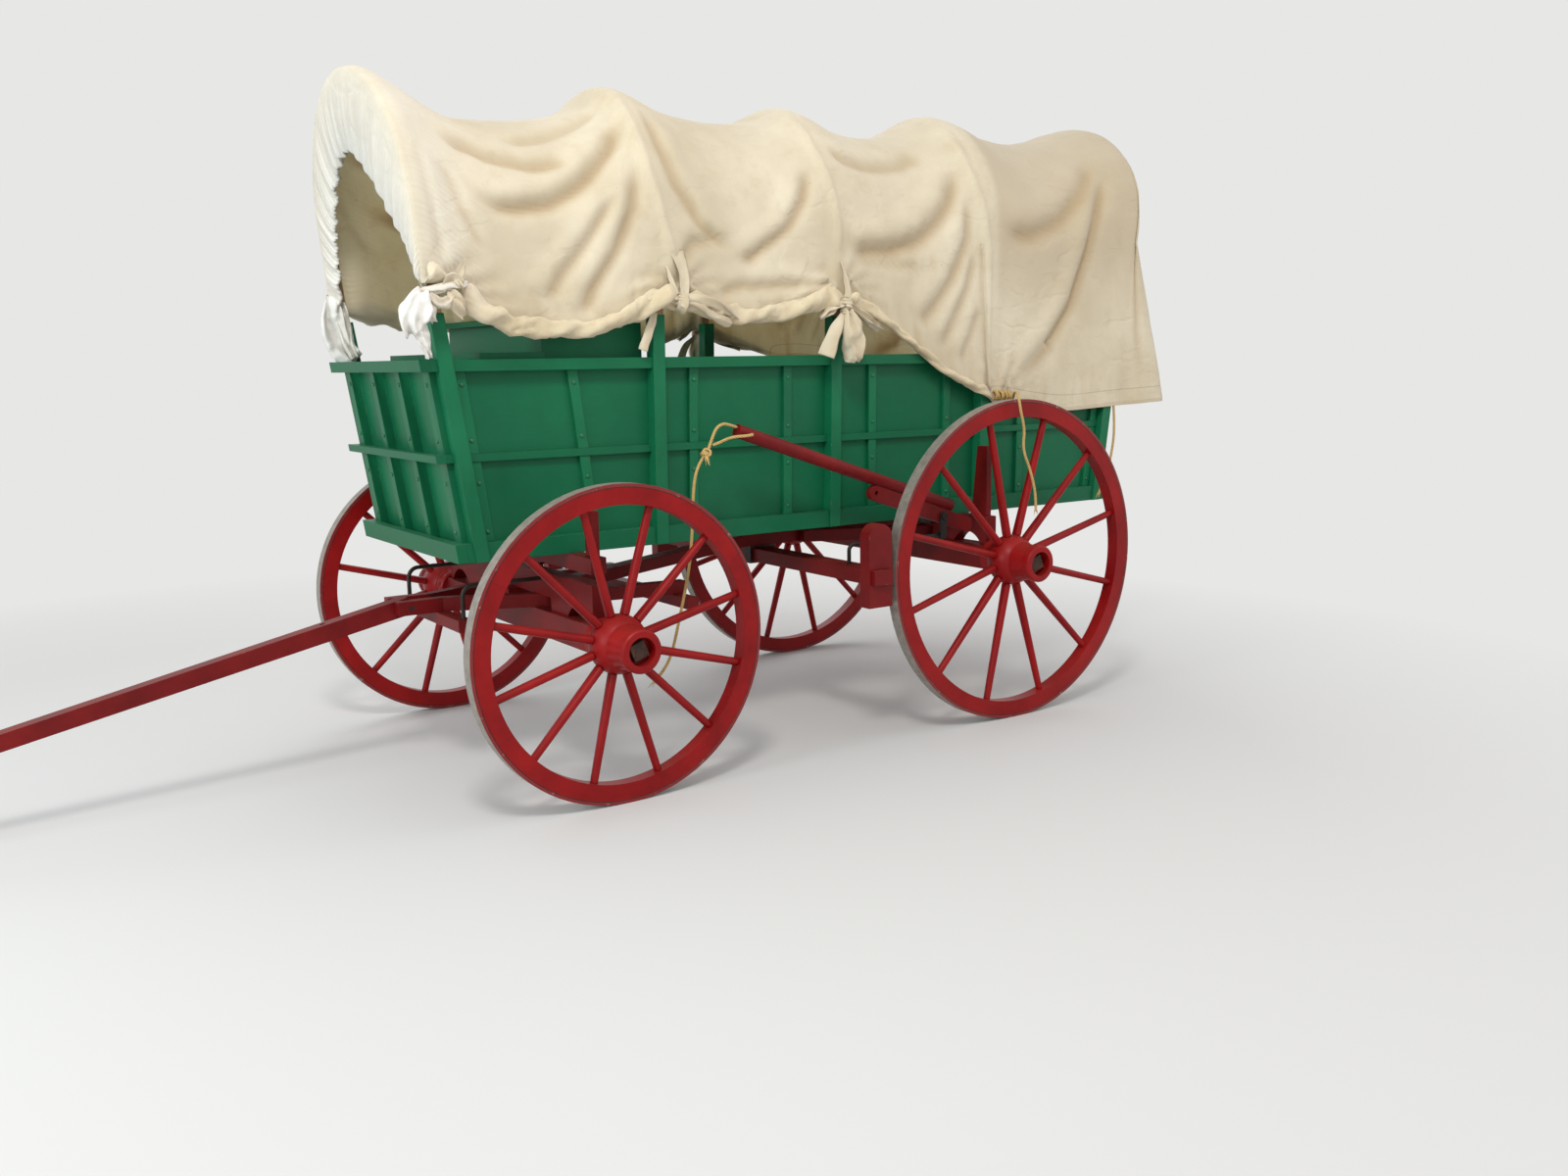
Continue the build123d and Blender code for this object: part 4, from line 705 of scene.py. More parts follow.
def frayedEnd(name, at, direction, body, reach=0.03, threads=9):
    # loose yarns past a cut end
    bm = bmesh.new()
    for n in range(threads):
        turn = 2 * pi * n / threads
        spread = Vector((cos(turn), sin(turn), 0.35 * sin(3 * turn)))
        far = at + direction * reach * (0.7 + 0.3 * sin(5 * n)) + spread * reach * fray["spread"]
        middle = at.lerp(far, 0.5) + spread * fray["belly"]
        base = at + spread * fray["root"] - direction * fray["inside"]
        for k, (a, b) in enumerate(((base, middle), (middle, far))):
            way = b - a
            made = bmesh.ops.create_cone(
                bm, segments=6, radius1=fray["thick"][k], radius2=fray["thick"][k + 1],
                depth=way.length, cap_ends=True,
            )
            seat = Matrix.Translation((a + b) / 2) @ turnOnto(way)
            bmesh.ops.transform(bm, matrix=seat, verts=made["verts"])
    layer = bm.loops.layers.uv.new("cloth")
    for face in bm.faces:
        for loop in face.loops:
            loop[layer].uv = (loop.vert.co.z, loop.vert.co.x)
    return finish(bm, name, body, materials["rope"])


def coilLine(at, side, coil):
    # a line wound round an axis through a point, a little unevenly
    axis = Vector(coil["axis"]).normalized()
    across = (side - axis * side.dot(axis)).normalized()
    over = axis.cross(across)
    perTurn, turns = coil["perTurn"], coil["turns"]
    line = []
    for n in range(int(turns * perTurn) + 1):
        turn = 2 * pi * n / perTurn
        swell = coil["reach"] * (1 + 0.12 * sin(coil["rate"] * turn + coil["start"]))
        slip = coil["pitch"] * (n / perTurn - turns / 2 + coil["slip"] * sin(0.37 * turn))
        line.append(at + axis * slip + (across * cos(turn) + over * sin(turn)) * swell)
    return line


def wrapCoil(name, at, body, coil):
    # rope wound round a line through a point
    line = coilLine(at, Vector((0, 0, 1)), {**ropeCoil, **coil})
    return twistedRope(name, line, body, ropeCoil["thickness"])


for name, rope in ropes.items():
    route = [fromAxle(*point) for point in rope["route"]]
    rope["start"] = route[0]
    rope["line"] = smoothLine(route)
    rope["piece"] = twistedRope(name, rope["line"], rope["body"])
    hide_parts(rope["node"])

leverKnot = {
    "at": (-466.5, 650, 1181.5),
    "round": {"axis": (0.70, -0.03, -0.71), "turns": 2.7, "reach": 0.0122, "pitch": 0.0112},
    "crossAt": (-0.004, 0.004, 0.006),
    "cross": {"axis": (0.5, 0.75, 0.5), "turns": 1.3, "reach": 0.0135, "pitch": 0.008},
    "tailAt": (0.006, 0.016, -0.010), "tailWay": (-0.15, 0.25, -0.95), "tailYarns": 14,
}
knotAt = fromAxle(*leverKnot["at"])
tailAt = knotAt + Vector(leverKnot["tailAt"])
tailWay = Vector(leverKnot["tailWay"]).normalized()
ropes["leverLoop"]["with"] = [
    wrapCoil("leverKnot", knotAt, "brake_lever", leverKnot["round"]),
    wrapCoil("leverKnotCross", knotAt + Vector(leverKnot["crossAt"]), "brake_lever", leverKnot["cross"]),
    frayedEnd("leverKnotTail", tailAt, tailWay, "brake_lever", threads=leverKnot["tailYarns"]),
]
for name, rope in ropes.items():
    if rope["far"] == "bare":
        line = rope["line"]
        way = (line[-1] - line[-3]).normalized()
        rope["with"] = [frayedEnd(name + "End", line[-1], way, rope["body"])]
# the lashing's turns round the rolled hem
wraps = {"at": (-2072, 531, 1353), "axis": (1, 0.02, 0.04), "turns": 7.6, "reach": 0.0152, "pitch": 0.0150}
hemWrap = wrapCoil("lashingWraps", fromAxle(*wraps["at"]), "wagon", wraps)
ropes["lashingRope"]["with"].insert(0, hemWrap)
for rope in ropes.values():
    [tuple(p) for p in rope["line"]]
print("ropes laid")

# the canvas cover

# all in millimetres; a place is measured along the bed from the front axle
cover = {
    # place, lean in thousandths, half width, spring height
    "rows": [
        (500, 100, 517, 2018), (450, 98, 517, 2016), (45, 30, 504, 1945), (-340, -10, 517, 2041),
        (-395, -10, 517, 2041), (-770, -12, 503, 1950), (-1155, -20, 517, 2037), (-1210, -20, 517, 2037),
        (-1586, -20, 506, 1950), (-1970, -20, 517, 2072), (-2028, -22, 517, 2072),
        (-2420, -70, 514, 1965), (-2806, -160, 518, 2094), (-2862, -165, 520, 2090),
        (-3075, -165, 530, 2060),
    ],
    "crown": [
        (505, 2532), (474, 2536), (425, 2522), (300, 2440), (190, 2397), (0, 2405), (-205, 2445),
        (-290, 2497), (-345, 2548), (-385, 2560), (-430, 2551), (-540, 2508), (-700, 2478), (-870, 2468),
        (-1020, 2489), (-1120, 2535), (-1180, 2555), (-1240, 2548), (-1360, 2500), (-1570, 2470),
        (-1770, 2492), (-1910, 2555), (-1995, 2590), (-2060, 2582), (-2190, 2536), (-2430, 2512),
        (-2620, 2545), (-2760, 2598), (-2834, 2613), (-2900, 2610), (-3075, 2598),
    ],
    "hemNear": [
        (505, 1780), (430, 1765), (390, 1700), (300, 1640), (180, 1610), (-40, 1602), (-170, 1630),
        (-300, 1682), (-400, 1708), (-450, 1704), (-510, 1686), (-600, 1664), (-750, 1654), (-900, 1668),
        (-1050, 1702), (-1170, 1727), (-1220, 1722), (-1330, 1690), (-1460, 1629), (-1600, 1540),
        (-1720, 1463), (-1850, 1400), (-1975, 1354), (-2150, 1329), (-2530, 1290), (-2810, 1299),
        (-3075, 1315),
    ],
    "hemFar": [
        (505, 1740), (400, 1700), (200, 1660), (-100, 1640), (-370, 1700), (-600, 1640), (-800, 1600),
        (-1000, 1600), (-1150, 1660), (-1300, 1600), (-1500, 1556), (-1750, 1552), (-1950, 1520),
        (-2150, 1420), (-2400, 1320), (-2810, 1300), (-3075, 1315),
    ],
}
canvas = {
    "columns": 286, "rows": 64, "rimSteps": 30, "rollSteps": 12, "curlSteps": 6,
    "front": 0.505, "rear": -3.075, "stakeTop": 1.690,
    "thickness": 0.0016, "girth": 2.05, "flat": (4.05, 2.50),
    # soft unevenness, as how fine and how deep
    "soft": ((2.4, 0.005), (7, 0.0028), (19, 0.0010)), "rimSoft": ((9, 0.0016), (30, 0.0008)),
    # the drawn-in opening: percent of the half, y and z in millimetres
    "opening": [
        (100, 516, 1785), (85, 470, 1848), (70, 398, 1932), (50, 270, 2054), (30, 130, 2172),
        (12, -5, 2258), (0, -78, 2282), (-15, -175, 2258), (-35, -272, 2172), (-55, -332, 2048),
        (-75, -362, 1930), (-90, -378, 1822), (-100, -418, 1735),
    ],
}
# where the drawn-in rim stands, how far it bulges and how deep its pleats are
rimShape = {
    "place": 0.530, "lean": 0.05, "middle": 1.9, "bulge": 0.020, "pleatOut": 0.0110, "pleatIn": 0.0050,
    "curl": 0.007,
}
# the rolled hem: it thins behind the third bow, swells and is pinched at each tie, and is lumpy behind
hemRoll = {
    "reach": 0.036, "thin": 0.64, "thinFrom": -1.30, "thinOver": 0.16, "swell": 0.45, "swellOver": 0.20,
    "pinch": 0.45, "pinchOver": 0.07, "lumpyAt": -1.72, "lumpyOver": 0.22,
    "turn": 1.75, "taper": 0.35, "narrow": 0.86, "hang": 0.0015,
    "ends": {1: (-2.06, 0.10), -1: (-1.62, 0.14)},  # near and far side: where it runs out, over what length
}
# the rear edge hangs by the last bow above, and flares backwards below
rearEdge = {"from": -2.87, "bow": -2.834, "margin": 0.040, "foot": -3.033, "flare": 0.30}
# the bows and the rear stakes that the cloth keeps clear of
bowHold = {
    "places": [0.474, -0.366, -1.183, -1.999, -2.834], "width": 0.040, "clear": 0.003,
    "stakesBelow": 1.58, "stakesBehind": -1.9,
}
# where the cloth is drawn in, its radial puckers, and how deep they go
gathers = {
    "firstTie": {"place": 0.43, "share": 0.985, "depth": 0.012, "reach": 0.20, "rays": 11},
    "secondTie": {"place": -0.44, "share": 0.97, "depth": 0.014, "reach": 0.16, "rays": 10},
    "thirdTie": {"place": -1.19, "share": 0.97, "depth": 0.014, "reach": 0.17, "rays": 11},
    "fourthTie": {"place": -2.09, "share": 0.99, "depth": 0.012, "reach": 0.14, "rays": 9},
}
# depth and width of each fold in millimetres, and its line: place, and percent of the half
folds = {
    "frontSmile": (-20, 45, [(360, 46), (250, 42), (150, 44), (30, 46), (-90, 43)]),
    "deepSmile": (-30, 50, [(310, 63), (140, 62), (30, 60), (-100, 53), (-240, 42), (-300, 33)]),
    "highSmile": (-14, 40, [(120, 35), (-20, 32), (-180, 25), (-280, 20)]),
    "secondDrop": (-22, 40, [(-300, 52), (-270, 68), (-200, 79), (-110, 88), (-60, 97)]),
    "secondDropInner": (-16, 34, [(-220, 58), (-120, 70), (0, 82), (70, 92)]),
    "secondRidge": (20, 26, [(-360, 10), (-340, 30), (-335, 45), (-345, 60), (-390, 76), (-440, 90)]),
    "behindSecond": (-18, 40, [(-400, 30), (-410, 48), (-460, 62), (-550, 73), (-700, 78)]),
    "behindSecondLow": (-14, 35, [(-460, 88), (-520, 80), (-620, 76)]),
    "frontEdge": (-10, 22, [(455, 55), (450, 70), (440, 83), (430, 93)]),
    "frontEdgeInner": (-10, 30, [(380, 56), (340, 70), (280, 80)]),
    "thirdRidge": (20, 24, [
        (-1150, 10), (-1130, 30), (-1130, 45), (-1155, 60), (-1180, 74), (-1190, 88),
    ]),
    "beforeThird": (-22, 42, [(-1080, 48), (-1030, 62), (-950, 71), (-830, 77), (-720, 83)]),
    "middleHem": (-14, 36, [(-620, 94), (-740, 90), (-920, 91), (-1040, 94)]),
    "behindThird": (-18, 45, [(-1170, 44), (-1270, 47), (-1430, 42), (-1620, 34), (-1770, 25)]),
    "longSmile": (-32, 48, [
        (-1240, 84), (-1340, 79), (-1450, 74), (-1630, 62), (-1780, 48), (-1880, 34),
    ]),
    "sharpCrease": (-12, 26, [(-1270, 86), (-1450, 78.5), (-1630, 71)]),
    "fourthRidge": (20, 24, [
        (-1950, 10), (-1930, 24), (-1920, 36), (-1950, 48), (-1985, 60), (-1990, 74), (-2000, 88),
        (-2020, 97),
    ]),
    "fourthDrop": (-20, 36, [(-1880, 44), (-1870, 58), (-1790, 71), (-1690, 83), (-1620, 92)]),
    "fourthDropInner": (-16, 30, [(-1920, 60), (-1880, 72), (-1800, 84), (-1740, 94)]),
    "fourthDropLow": (-12, 24, [(-1950, 76), (-1900, 86), (-1840, 95)]),
    "rearSmile": (-24, 50, [(-2060, 54), (-2240, 52), (-2420, 46), (-2560, 38), (-2680, 26)]),
    "rearLong": (-30, 42, [(-2720, 30), (-2640, 42), (-2580, 56), (-2510, 70), (-2380, 82), (-2180, 95)]),
    "rearSeam": (5, 20, [(-2740, 58), (-2800, 72), (-2850, 80), (-2900, 98)]),
    "rearEdge": (-12, 30, [(-2900, 20), (-2930, 45), (-2960, 70), (-2980, 95)]),
    "fourthSeam": (5, 20, [(-2035, 56), (-2045, 72), (-2050, 86), (-2060, 95)]),
}
halfGirth = 1.35  # metres of cloth that a share of 1 stands for in the folds
farFolds = {"shift": 0.06, "depth": 0.8}  # the far side's, beside the near side's
# a fold fades at both ends of its line; its core and the lip beside it are parts of its width
foldShape = {
    "fadeIn": 0.18, "fadeOut": 0.14, "core": 0.7, "lip": 0.55, "lipAt": 1.5, "lipWidth": 1.2,
    "darkest": 0.024,  # the depth that gives a crease its full colour
}
# puckers along the hem, by share of the half, with painted shade in their valleys; they are fullest before
# the fourth bow
puckering = {
    "from": 0.84, "over": 0.16, "depth": 0.008, "crease": 0.35,
    "fuller": 0.9, "fullestAt": -1.62, "fullestOver": 0.26,
}
# tones: the pale rim and first tie, painted front light; the stitched hem; painted shade that makes the
# panel at the rear tanner; and the greyer roll
tones = {
    "rimFade": 0.8, "rimValley": 0.30, "valleyOver": 0.7, "tiePale": 0.25, "tieAt": 0.42, "tieOver": 0.09,
    "hemFrom": 0.93, "hemOver": 0.07, "rearFrom": -2.02, "rearOver": 0.05, "upperHalf": 0.50,
    "upperOver": 0.35, "roll": 0.6,
}


def along(line, place):
    # smooth curve through (place, value) pairs that run to the rear
    last = len(line) - 1
    if place >= line[0][0]:
        return line[0][1]
    if place <= line[last][0]:
        return line[last][1]
    k = next(n for n in range(last) if line[n + 1][0] <= place)
    (a, fa), (b, fb) = line[k], line[k + 1]
    span = a - b
    t = (a - place) / span
    slope = (fb - fa) / span
    before = (fa - line[k - 1][1]) / (line[k - 1][0] - a) if k > 0 else slope
    after = (line[k + 2][1] - fb) / (b - line[k + 2][0]) if k + 2 <= last else slope
    startSlope = 0.0 if before * slope < 0 else (before + slope) / 2
    endSlope = 0.0 if after * slope < 0 else (after + slope) / 2
    t2, t3 = t * t, t * t * t
    return (
        fa * (2 * t3 - 3 * t2 + 1)
        + span * startSlope * (t3 - 2 * t2 + t)
        + fb * (3 * t2 - 2 * t3)
        + span * endSlope * (t3 - t2)
    )


def lump(x, y, z=0):
    # smooth noise, about -1 to 1
    return noise.noise(Vector((x, y, z)))


def softness(p, scales):
    return sum(noise.noise(p * rate) * depth for rate, depth in scales)


def hemState(place, side):
    # 1 where the hem is rolled up, 0 where it hangs flat
    rear, span = hemRoll["ends"][side]
    return smooth((place - rear) / span)


def rollReach(place):
    # how far out the roll reaches here
    thin, pinch = hemRoll["thin"], hemRoll["pinch"]
    ahead = smooth((place - hemRoll["thinFrom"]) / hemRoll["thinOver"])
    fat = hemRoll["reach"] * (thin + (1 - thin) * ahead)
    for tie in ("firstTie", "secondTie", "thirdTie"):
        gap = abs(place - gathers[tie]["place"])
        fat *= 1 + hemRoll["swell"] * hump(gap, hemRoll["swellOver"])
        fat *= 1 - pinch + pinch * smooth(gap / hemRoll["pinchOver"])
    lumps = 0.24 * lump(place * 7, 1) + 0.20 * lump(place * 21, 4)
    return fat * (1 + lumps * (1 + 0.8 * hump(place - hemRoll["lumpyAt"], hemRoll["lumpyOver"])))


outlines = [[(row[0] / 1000, row[k] / 1000) for row in cover["rows"]] for k in (1, 2, 3)]
for name in ("crown", "hemNear", "hemFar"):
    outlines.append([(place / 1000, height / 1000) for place, height in cover[name]])
rowCache = {}


def sectionAt(place):
    # lean, half width, spring, crown, near hem and far hem, each hem lifted by its roll
    key = round(place, 5)
    if key not in rowCache:
        row = [along(line, place) for line in outlines]
        row[4] += rollReach(place) * hemState(place, 1)
        row[5] += rollReach(place) * hemState(place, -1)
        rowCache[key] = row
    return rowCache[key]


def onSection(place, share):
    # share runs from -1, the far hem, over the crown, to 1, the near hem
    lean, half, spring, crown, hemNear, hemFar = sectionAt(place)
    rise = crown - spring
    hem = hemNear if share > 0 else hemFar
    arc = pi / 2 * sqrt((half * half + rise * rise) / 2)
    run = abs(share) * (arc + spring - hem)
    if run < arc:
        turn = pi / 2 * (1 - run / arc)
        y, z = half * cos(turn), spring + rise * sin(turn)
    else:
        y, z = half, spring - (run - arc)
    above = z - canvas["stakeTop"]
    x = place + lean * above
    rear = rearEdge["from"]
    if place < rear:
        bow = rearEdge["bow"] + lean * above
        edge = min(rearEdge["foot"] + rearEdge["flare"] * above, bow - rearEdge["margin"])
        start = rear + lean * above
        x = start + (edge - start) * (rear - place) / (rear - canvas["rear"])
    return Vector((x + axleX, y if share > 0 else -y, z))


def nearestOn(points, x, y):
    # distance to a line, which side of it, and how far along it
    best = (9.0, 0.0, 0.0)
    last = len(points) - 1
    for k in range(last):
        ax, ay = points[k]
        dx, dy = points[k + 1][0] - ax, points[k + 1][1] - ay
        span = dx * dx + dy * dy
        t = min(max(((x - ax) * dx + (y - ay) * dy) / span, 0.0), 1.0)
        offX, offY = x - ax - t * dx, y - ay - t * dy
        gap = hypot(offX, offY)
        if gap < best[0]:
            cross = dx * offY - dy * offX
            best = (gap, gap if cross * (-1 if dx < 0 else 1) < 0 else -gap, (k + t) / last)
    return best


scaledFolds = []
for depth, width, points in folds.values():
    width /= 1000
    for side, shift, scale in ((1, 0.0, 1), (-1, farFolds["shift"], farFolds["depth"])):
        line = [(place / 1000 + shift, share / 100 * halfGirth) for place, share in points]
        low = [min(p[k] for p in line) - 3 * width for k in (0, 1)]
        high = [max(p[k] for p in line) + 3 * width for k in (0, 1)]
        scaledFolds.append((side, depth / 1000 * scale, width, line, low, high))


def foldDepth(place, share):
    # how far the cloth stands in or out here, and how deep in a crease it is, which sets the crease's
    # painted shade
    side = 1 if share >= 0 else -1
    across = abs(share) * halfGirth
    stands, crease = 0.0, 0.0
    for foldSide, depth, width, line, low, high in scaledFolds:
        if foldSide != side or not (low[0] < place < high[0] and low[1] < across < high[1]):
            continue
        gap, signed, way = nearestOn(line, place, across)
        if gap > 3 * width:
            continue
        fade = smooth(way / foldShape["fadeIn"]) * smooth((1 - way) / foldShape["fadeOut"])
        core = hump(gap, foldShape["core"] * width)
        stands += depth * fade * core
        if depth < 0:
            lip = hump(signed - foldShape["lipAt"] * width, foldShape["lipWidth"] * width)
            stands += -foldShape["lip"] * depth * fade * lip
            crease = max(crease, fade * core * min(-depth / foldShape["darkest"], 1.0))
    for gather in gathers.values():
        dx = place - gather["place"]
        dy = across - gather["share"] * halfGirth
        gap = hypot(dx, dy)
        if gap < gather["reach"] * 2 and side > 0:
            ray = gather["rays"] * (0.5 + 0.16 * dx / (gap + 0.01) - 0.4 * dy / (gap + 0.01)) * 2.2
            fall = hump(gap, gather["reach"]) * smooth(gap / 0.03)
            stands += gather["depth"] * fall * sin(ray * 2 + 3 * dx)
            # painted shade in the valleys of the gathers
            crease = max(crease, 0.5 * fall * (0.5 - 0.5 * sin(ray * 2 + 3 * dx)))
    return stands, crease


def rimPleat(share):
    # the drawn-in edge's radial pleats, 1 on a crest and -1 in a valley
    return sin(share * 66 + 2.4 * sin(share * 9)) * 0.6 + 0.4 * sin(share * 104 + 3 + 2 * sin(share * 23))


openingY, openingZ = ([(row[0] / 100, row[k] / 1000) for row in canvas["opening"]] for k in (1, 2))


def placeOf(i):
    # the rim's columns all start from the front edge
    steps, rim = canvas["columns"], canvas["rimSteps"]
    return canvas["front"] - (canvas["front"] - canvas["rear"]) * max(i - rim, 0) / (steps - rim)


def coverBase(i, j):
    share = (j - canvas["rows"]) / canvas["rows"]
    outer = onSection(placeOf(i), share)
    if i >= canvas["rimSteps"]:
        return outer
    y = along(openingY, share)
    z = along(openingZ, share)
    inner = Vector((axleX + rimShape["place"] + rimShape["lean"] * (z - rimShape["middle"]), y, z))
    curled = canvas["curlSteps"]
    t = min((canvas["rimSteps"] - i) / (canvas["rimSteps"] - curled), 1.0)
    point = outer.lerp(inner, t ** 1.2)
    pleat = rimPleat(share)
    swell = rimShape["bulge"] * sin(pi * t) ** 0.8 * (0.5 + 0.5 * (1 - abs(share)))
    gathered = smooth((t - 0.1) / 0.9)
    point.x += swell + rimShape["pleatOut"] * gathered * pleat
    inward = (inner - outer).normalized()
    point -= inward * rimShape["pleatIn"] * gathered * pleat
    if i < curled:
        # the edge turns in over its drawstring
        turn = 1.5 * pi * (curled - i) / curled
        reach = rimShape["curl"] * (1 + 0.25 * pleat)
        point += inward * reach * sin(turn) - Vector((1, 0, 0)) * reach * (1 - cos(turn))
    return point


def heldOut(p, place, stands):
    clear = bowHold["clear"]
    for bowPlace in bowHold["places"]:
        held = exp(-(((place - bowPlace) / bowHold["width"]) ** 4))
        if stands < clear:
            stands += (clear - stands) * held
    if p.z < bowHold["stakesBelow"] and place < bowHold["stakesBehind"]:
        stands = max(stands, -clear)
    return stands


def coverPoints():
    steps, rows, rim = canvas["columns"], 2 * canvas["rows"], canvas["rimSteps"]
    base = [[coverBase(i, j) for j in range(rows + 1)] for i in range(steps + 1)]
    points = [[None] * (rows + 1) for _ in range(steps + 1)]
    creases = [[0.0] * (rows + 1) for _ in range(steps + 1)]
    for i in range(steps + 1):
        place = placeOf(i)
        for j in range(rows + 1):
            p = base[i][j]
            share = j / canvas["rows"] - 1
            if i < rim:
                points[i][j] = p + Vector((softness(p, canvas["rimSoft"]), 0, 0))
                creases[i][j] = 0.15 * smooth(noise.noise(p * 12) + 0.4)
                continue
            ahead = base[min(i + 1, steps)][j] - base[max(i - 1, rim)][j]
            beside = base[i][min(j + 1, rows)] - base[i][max(j - 1, 0)]
            normal = ahead.cross(beside).normalized()
            if normal.dot(Vector((0, p.y, p.z - 1.6))) < 0:
                normal.negate()
            shift, crease = foldDepth(place, share)
            onto = smooth((i - rim) / 5)
            soft = softness(p, canvas["soft"])
            fuller = puckering["fuller"] * hump(place - puckering["fullestAt"], puckering["fullestOver"])
            low = smooth((abs(share) - puckering["from"]) / puckering["over"]) * (1 + fuller * (share > 0))
            puckers = lump(place * 17 + 4 * share, 3 * share) + 0.6 * lump(place * 41 - 6 * share, 7)
            stands = heldOut(p, place, (shift + soft + low * puckering["depth"] * puckers) * onto)
            points[i][j] = p + normal * stands
            creases[i][j] = max(crease, puckering["crease"] * low * smooth(0.2 - puckers)) * onto
    return points, creases


coverGrid, coverCrease = coverPoints()
print("cover shaped")


def buildCover():
    steps, rows, roll = canvas["columns"], 2 * canvas["rows"], canvas["rollSteps"]
    rim = canvas["rimSteps"]
    crownLine = [column[rows // 2] for column in coverGrid]
    lengths = [0.0]
    for a, b in zip(crownLine, crownLine[1:]):
        lengths.append(lengths[-1] + (b - a).length)

    def onGrid(j):
        return min(max(j - roll, 0), rows)

    def shareOf(j):
        return onGrid(j) / rows * 2 - 1

    def place(i, j):
        p = coverGrid[i][onGrid(j)].copy()
        past = max(j - roll - rows, roll - j, 0)
        if past:
            # the hem curls out and up over itself
            side = 1 if j > roll else -1
            way = placeOf(i)
            rolled = hemState(way, side) * smooth((i - rim + 6) / 10)
            turn = hemRoll["turn"] * pi * past / roll * rolled
            reach = rollReach(way) * (1 - hemRoll["taper"] * past / roll)
            wound = 0.16 * sin(2 * turn + way * 30 + 3 * lump(way * 6, 0))
            wound += 0.12 * lump(way * 60 + turn * 1.8, 5)
            reach *= 1 + wound + 0.30 * lump(way * 22 + turn, turn * 0.9, 2)
            p.y += side * reach * (1 - cos(turn)) * hemRoll["narrow"]
            p.z -= reach * sin(turn) + hemRoll["hang"] * past * (1 - rolled)
        return p

    def cloth(i, j):
        return lengths[i], canvas["girth"] * (j - roll - rows / 2) / rows

    def paleness(i, j):
        # painted front light, fading inward from the rim's edge, with painted shade in its pleats' valleys;
        # a little near the first tie
        if i < rim:
            valley = 0.5 - 0.5 * rimPleat(shareOf(j))
            inner = smooth((rim - i) / (tones["valleyOver"] * rim))
            return (1 - tones["rimFade"] * i / rim) * (1 - tones["rimValley"] * valley * inner)
        return tones["tiePale"] * hump(placeOf(i) - tones["tieAt"], tones["tieOver"])

    def hemline(i, j):
        share = shareOf(j)
        low = smooth((abs(share) - tones["hemFrom"]) / tones["hemOver"])
        return low * (1 - hemState(placeOf(i), 1 if share > 0 else -1))

    def rearShadeAndRoll(i, j):
        # painted shade: the panel behind the fourth bow is tanner above, away from the key light; the roll
        # is greyer
        if j > roll + rows or j < roll:
            return tones["roll"]
        behind = smooth((tones["rearFrom"] - placeOf(i)) / tones["rearOver"])
        return behind * (1 - smooth((abs(shareOf(j)) - tones["upperHalf"]) / tones["upperOver"]))

    # painted shade in the creases, and in the lumps of the roll
    def creased(i, j):
        crease = coverCrease[i][onGrid(j)]
        if roll <= j <= roll + rows:
            return crease
        return max(crease, 0.3 * smooth(0.5 + lump(placeOf(i) * 26, j * 0.45) * 1.4))

    marks = {"crease": creased, "pale": paleness, "hem": hemline, "rearShadeRollTone": rearShadeAndRoll}
    bm = surfaceGrid(steps, rows + 2 * roll, place, cloth, marks)
    bm.normal_update()
    if max(bm.faces, key=lambda f: f.calc_center_median().z).normal.z < 0:
        bmesh.ops.reverse_faces(bm, faces=bm.faces)
    piece = finish(bm, "coverCanvas", "wagon", materials["canvas"])
    wall = piece.modifiers.new("wall", "SOLIDIFY")
    wall.thickness = canvas["thickness"]
    wall.offset = 0
    piece.data.materials.append(materials["canvasInside"])
    wall.material_offset = 1
    return piece


coverPiece = buildCover()
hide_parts("cover")
print("cover built")

# the cover's ties: plain straps, twisted folds and puffed-out bunches of its own cloth

tieKinds = {
    "strap": {
        "steps": 30, "rows": 10, "thick": 0.0026, "rough": 0.0012, "turn": 0.3, "pleats": 0.6, "puff": 0.0,
    },
    "fold": {
        "steps": 46, "rows": 14, "thick": 0.0050, "rough": 0.0030, "turn": 1.2, "pleats": 1.6, "puff": 0.008,
    },
    "bunch": {
        "steps": 46, "rows": 20, "thick": 0.0060, "rough": 0.0060, "turn": 0.8, "pleats": 1.8, "puff": 0.018,
    },
}
tieKinds["fullBunch"] = {**tieKinds["bunch"], "puff": 0.024}
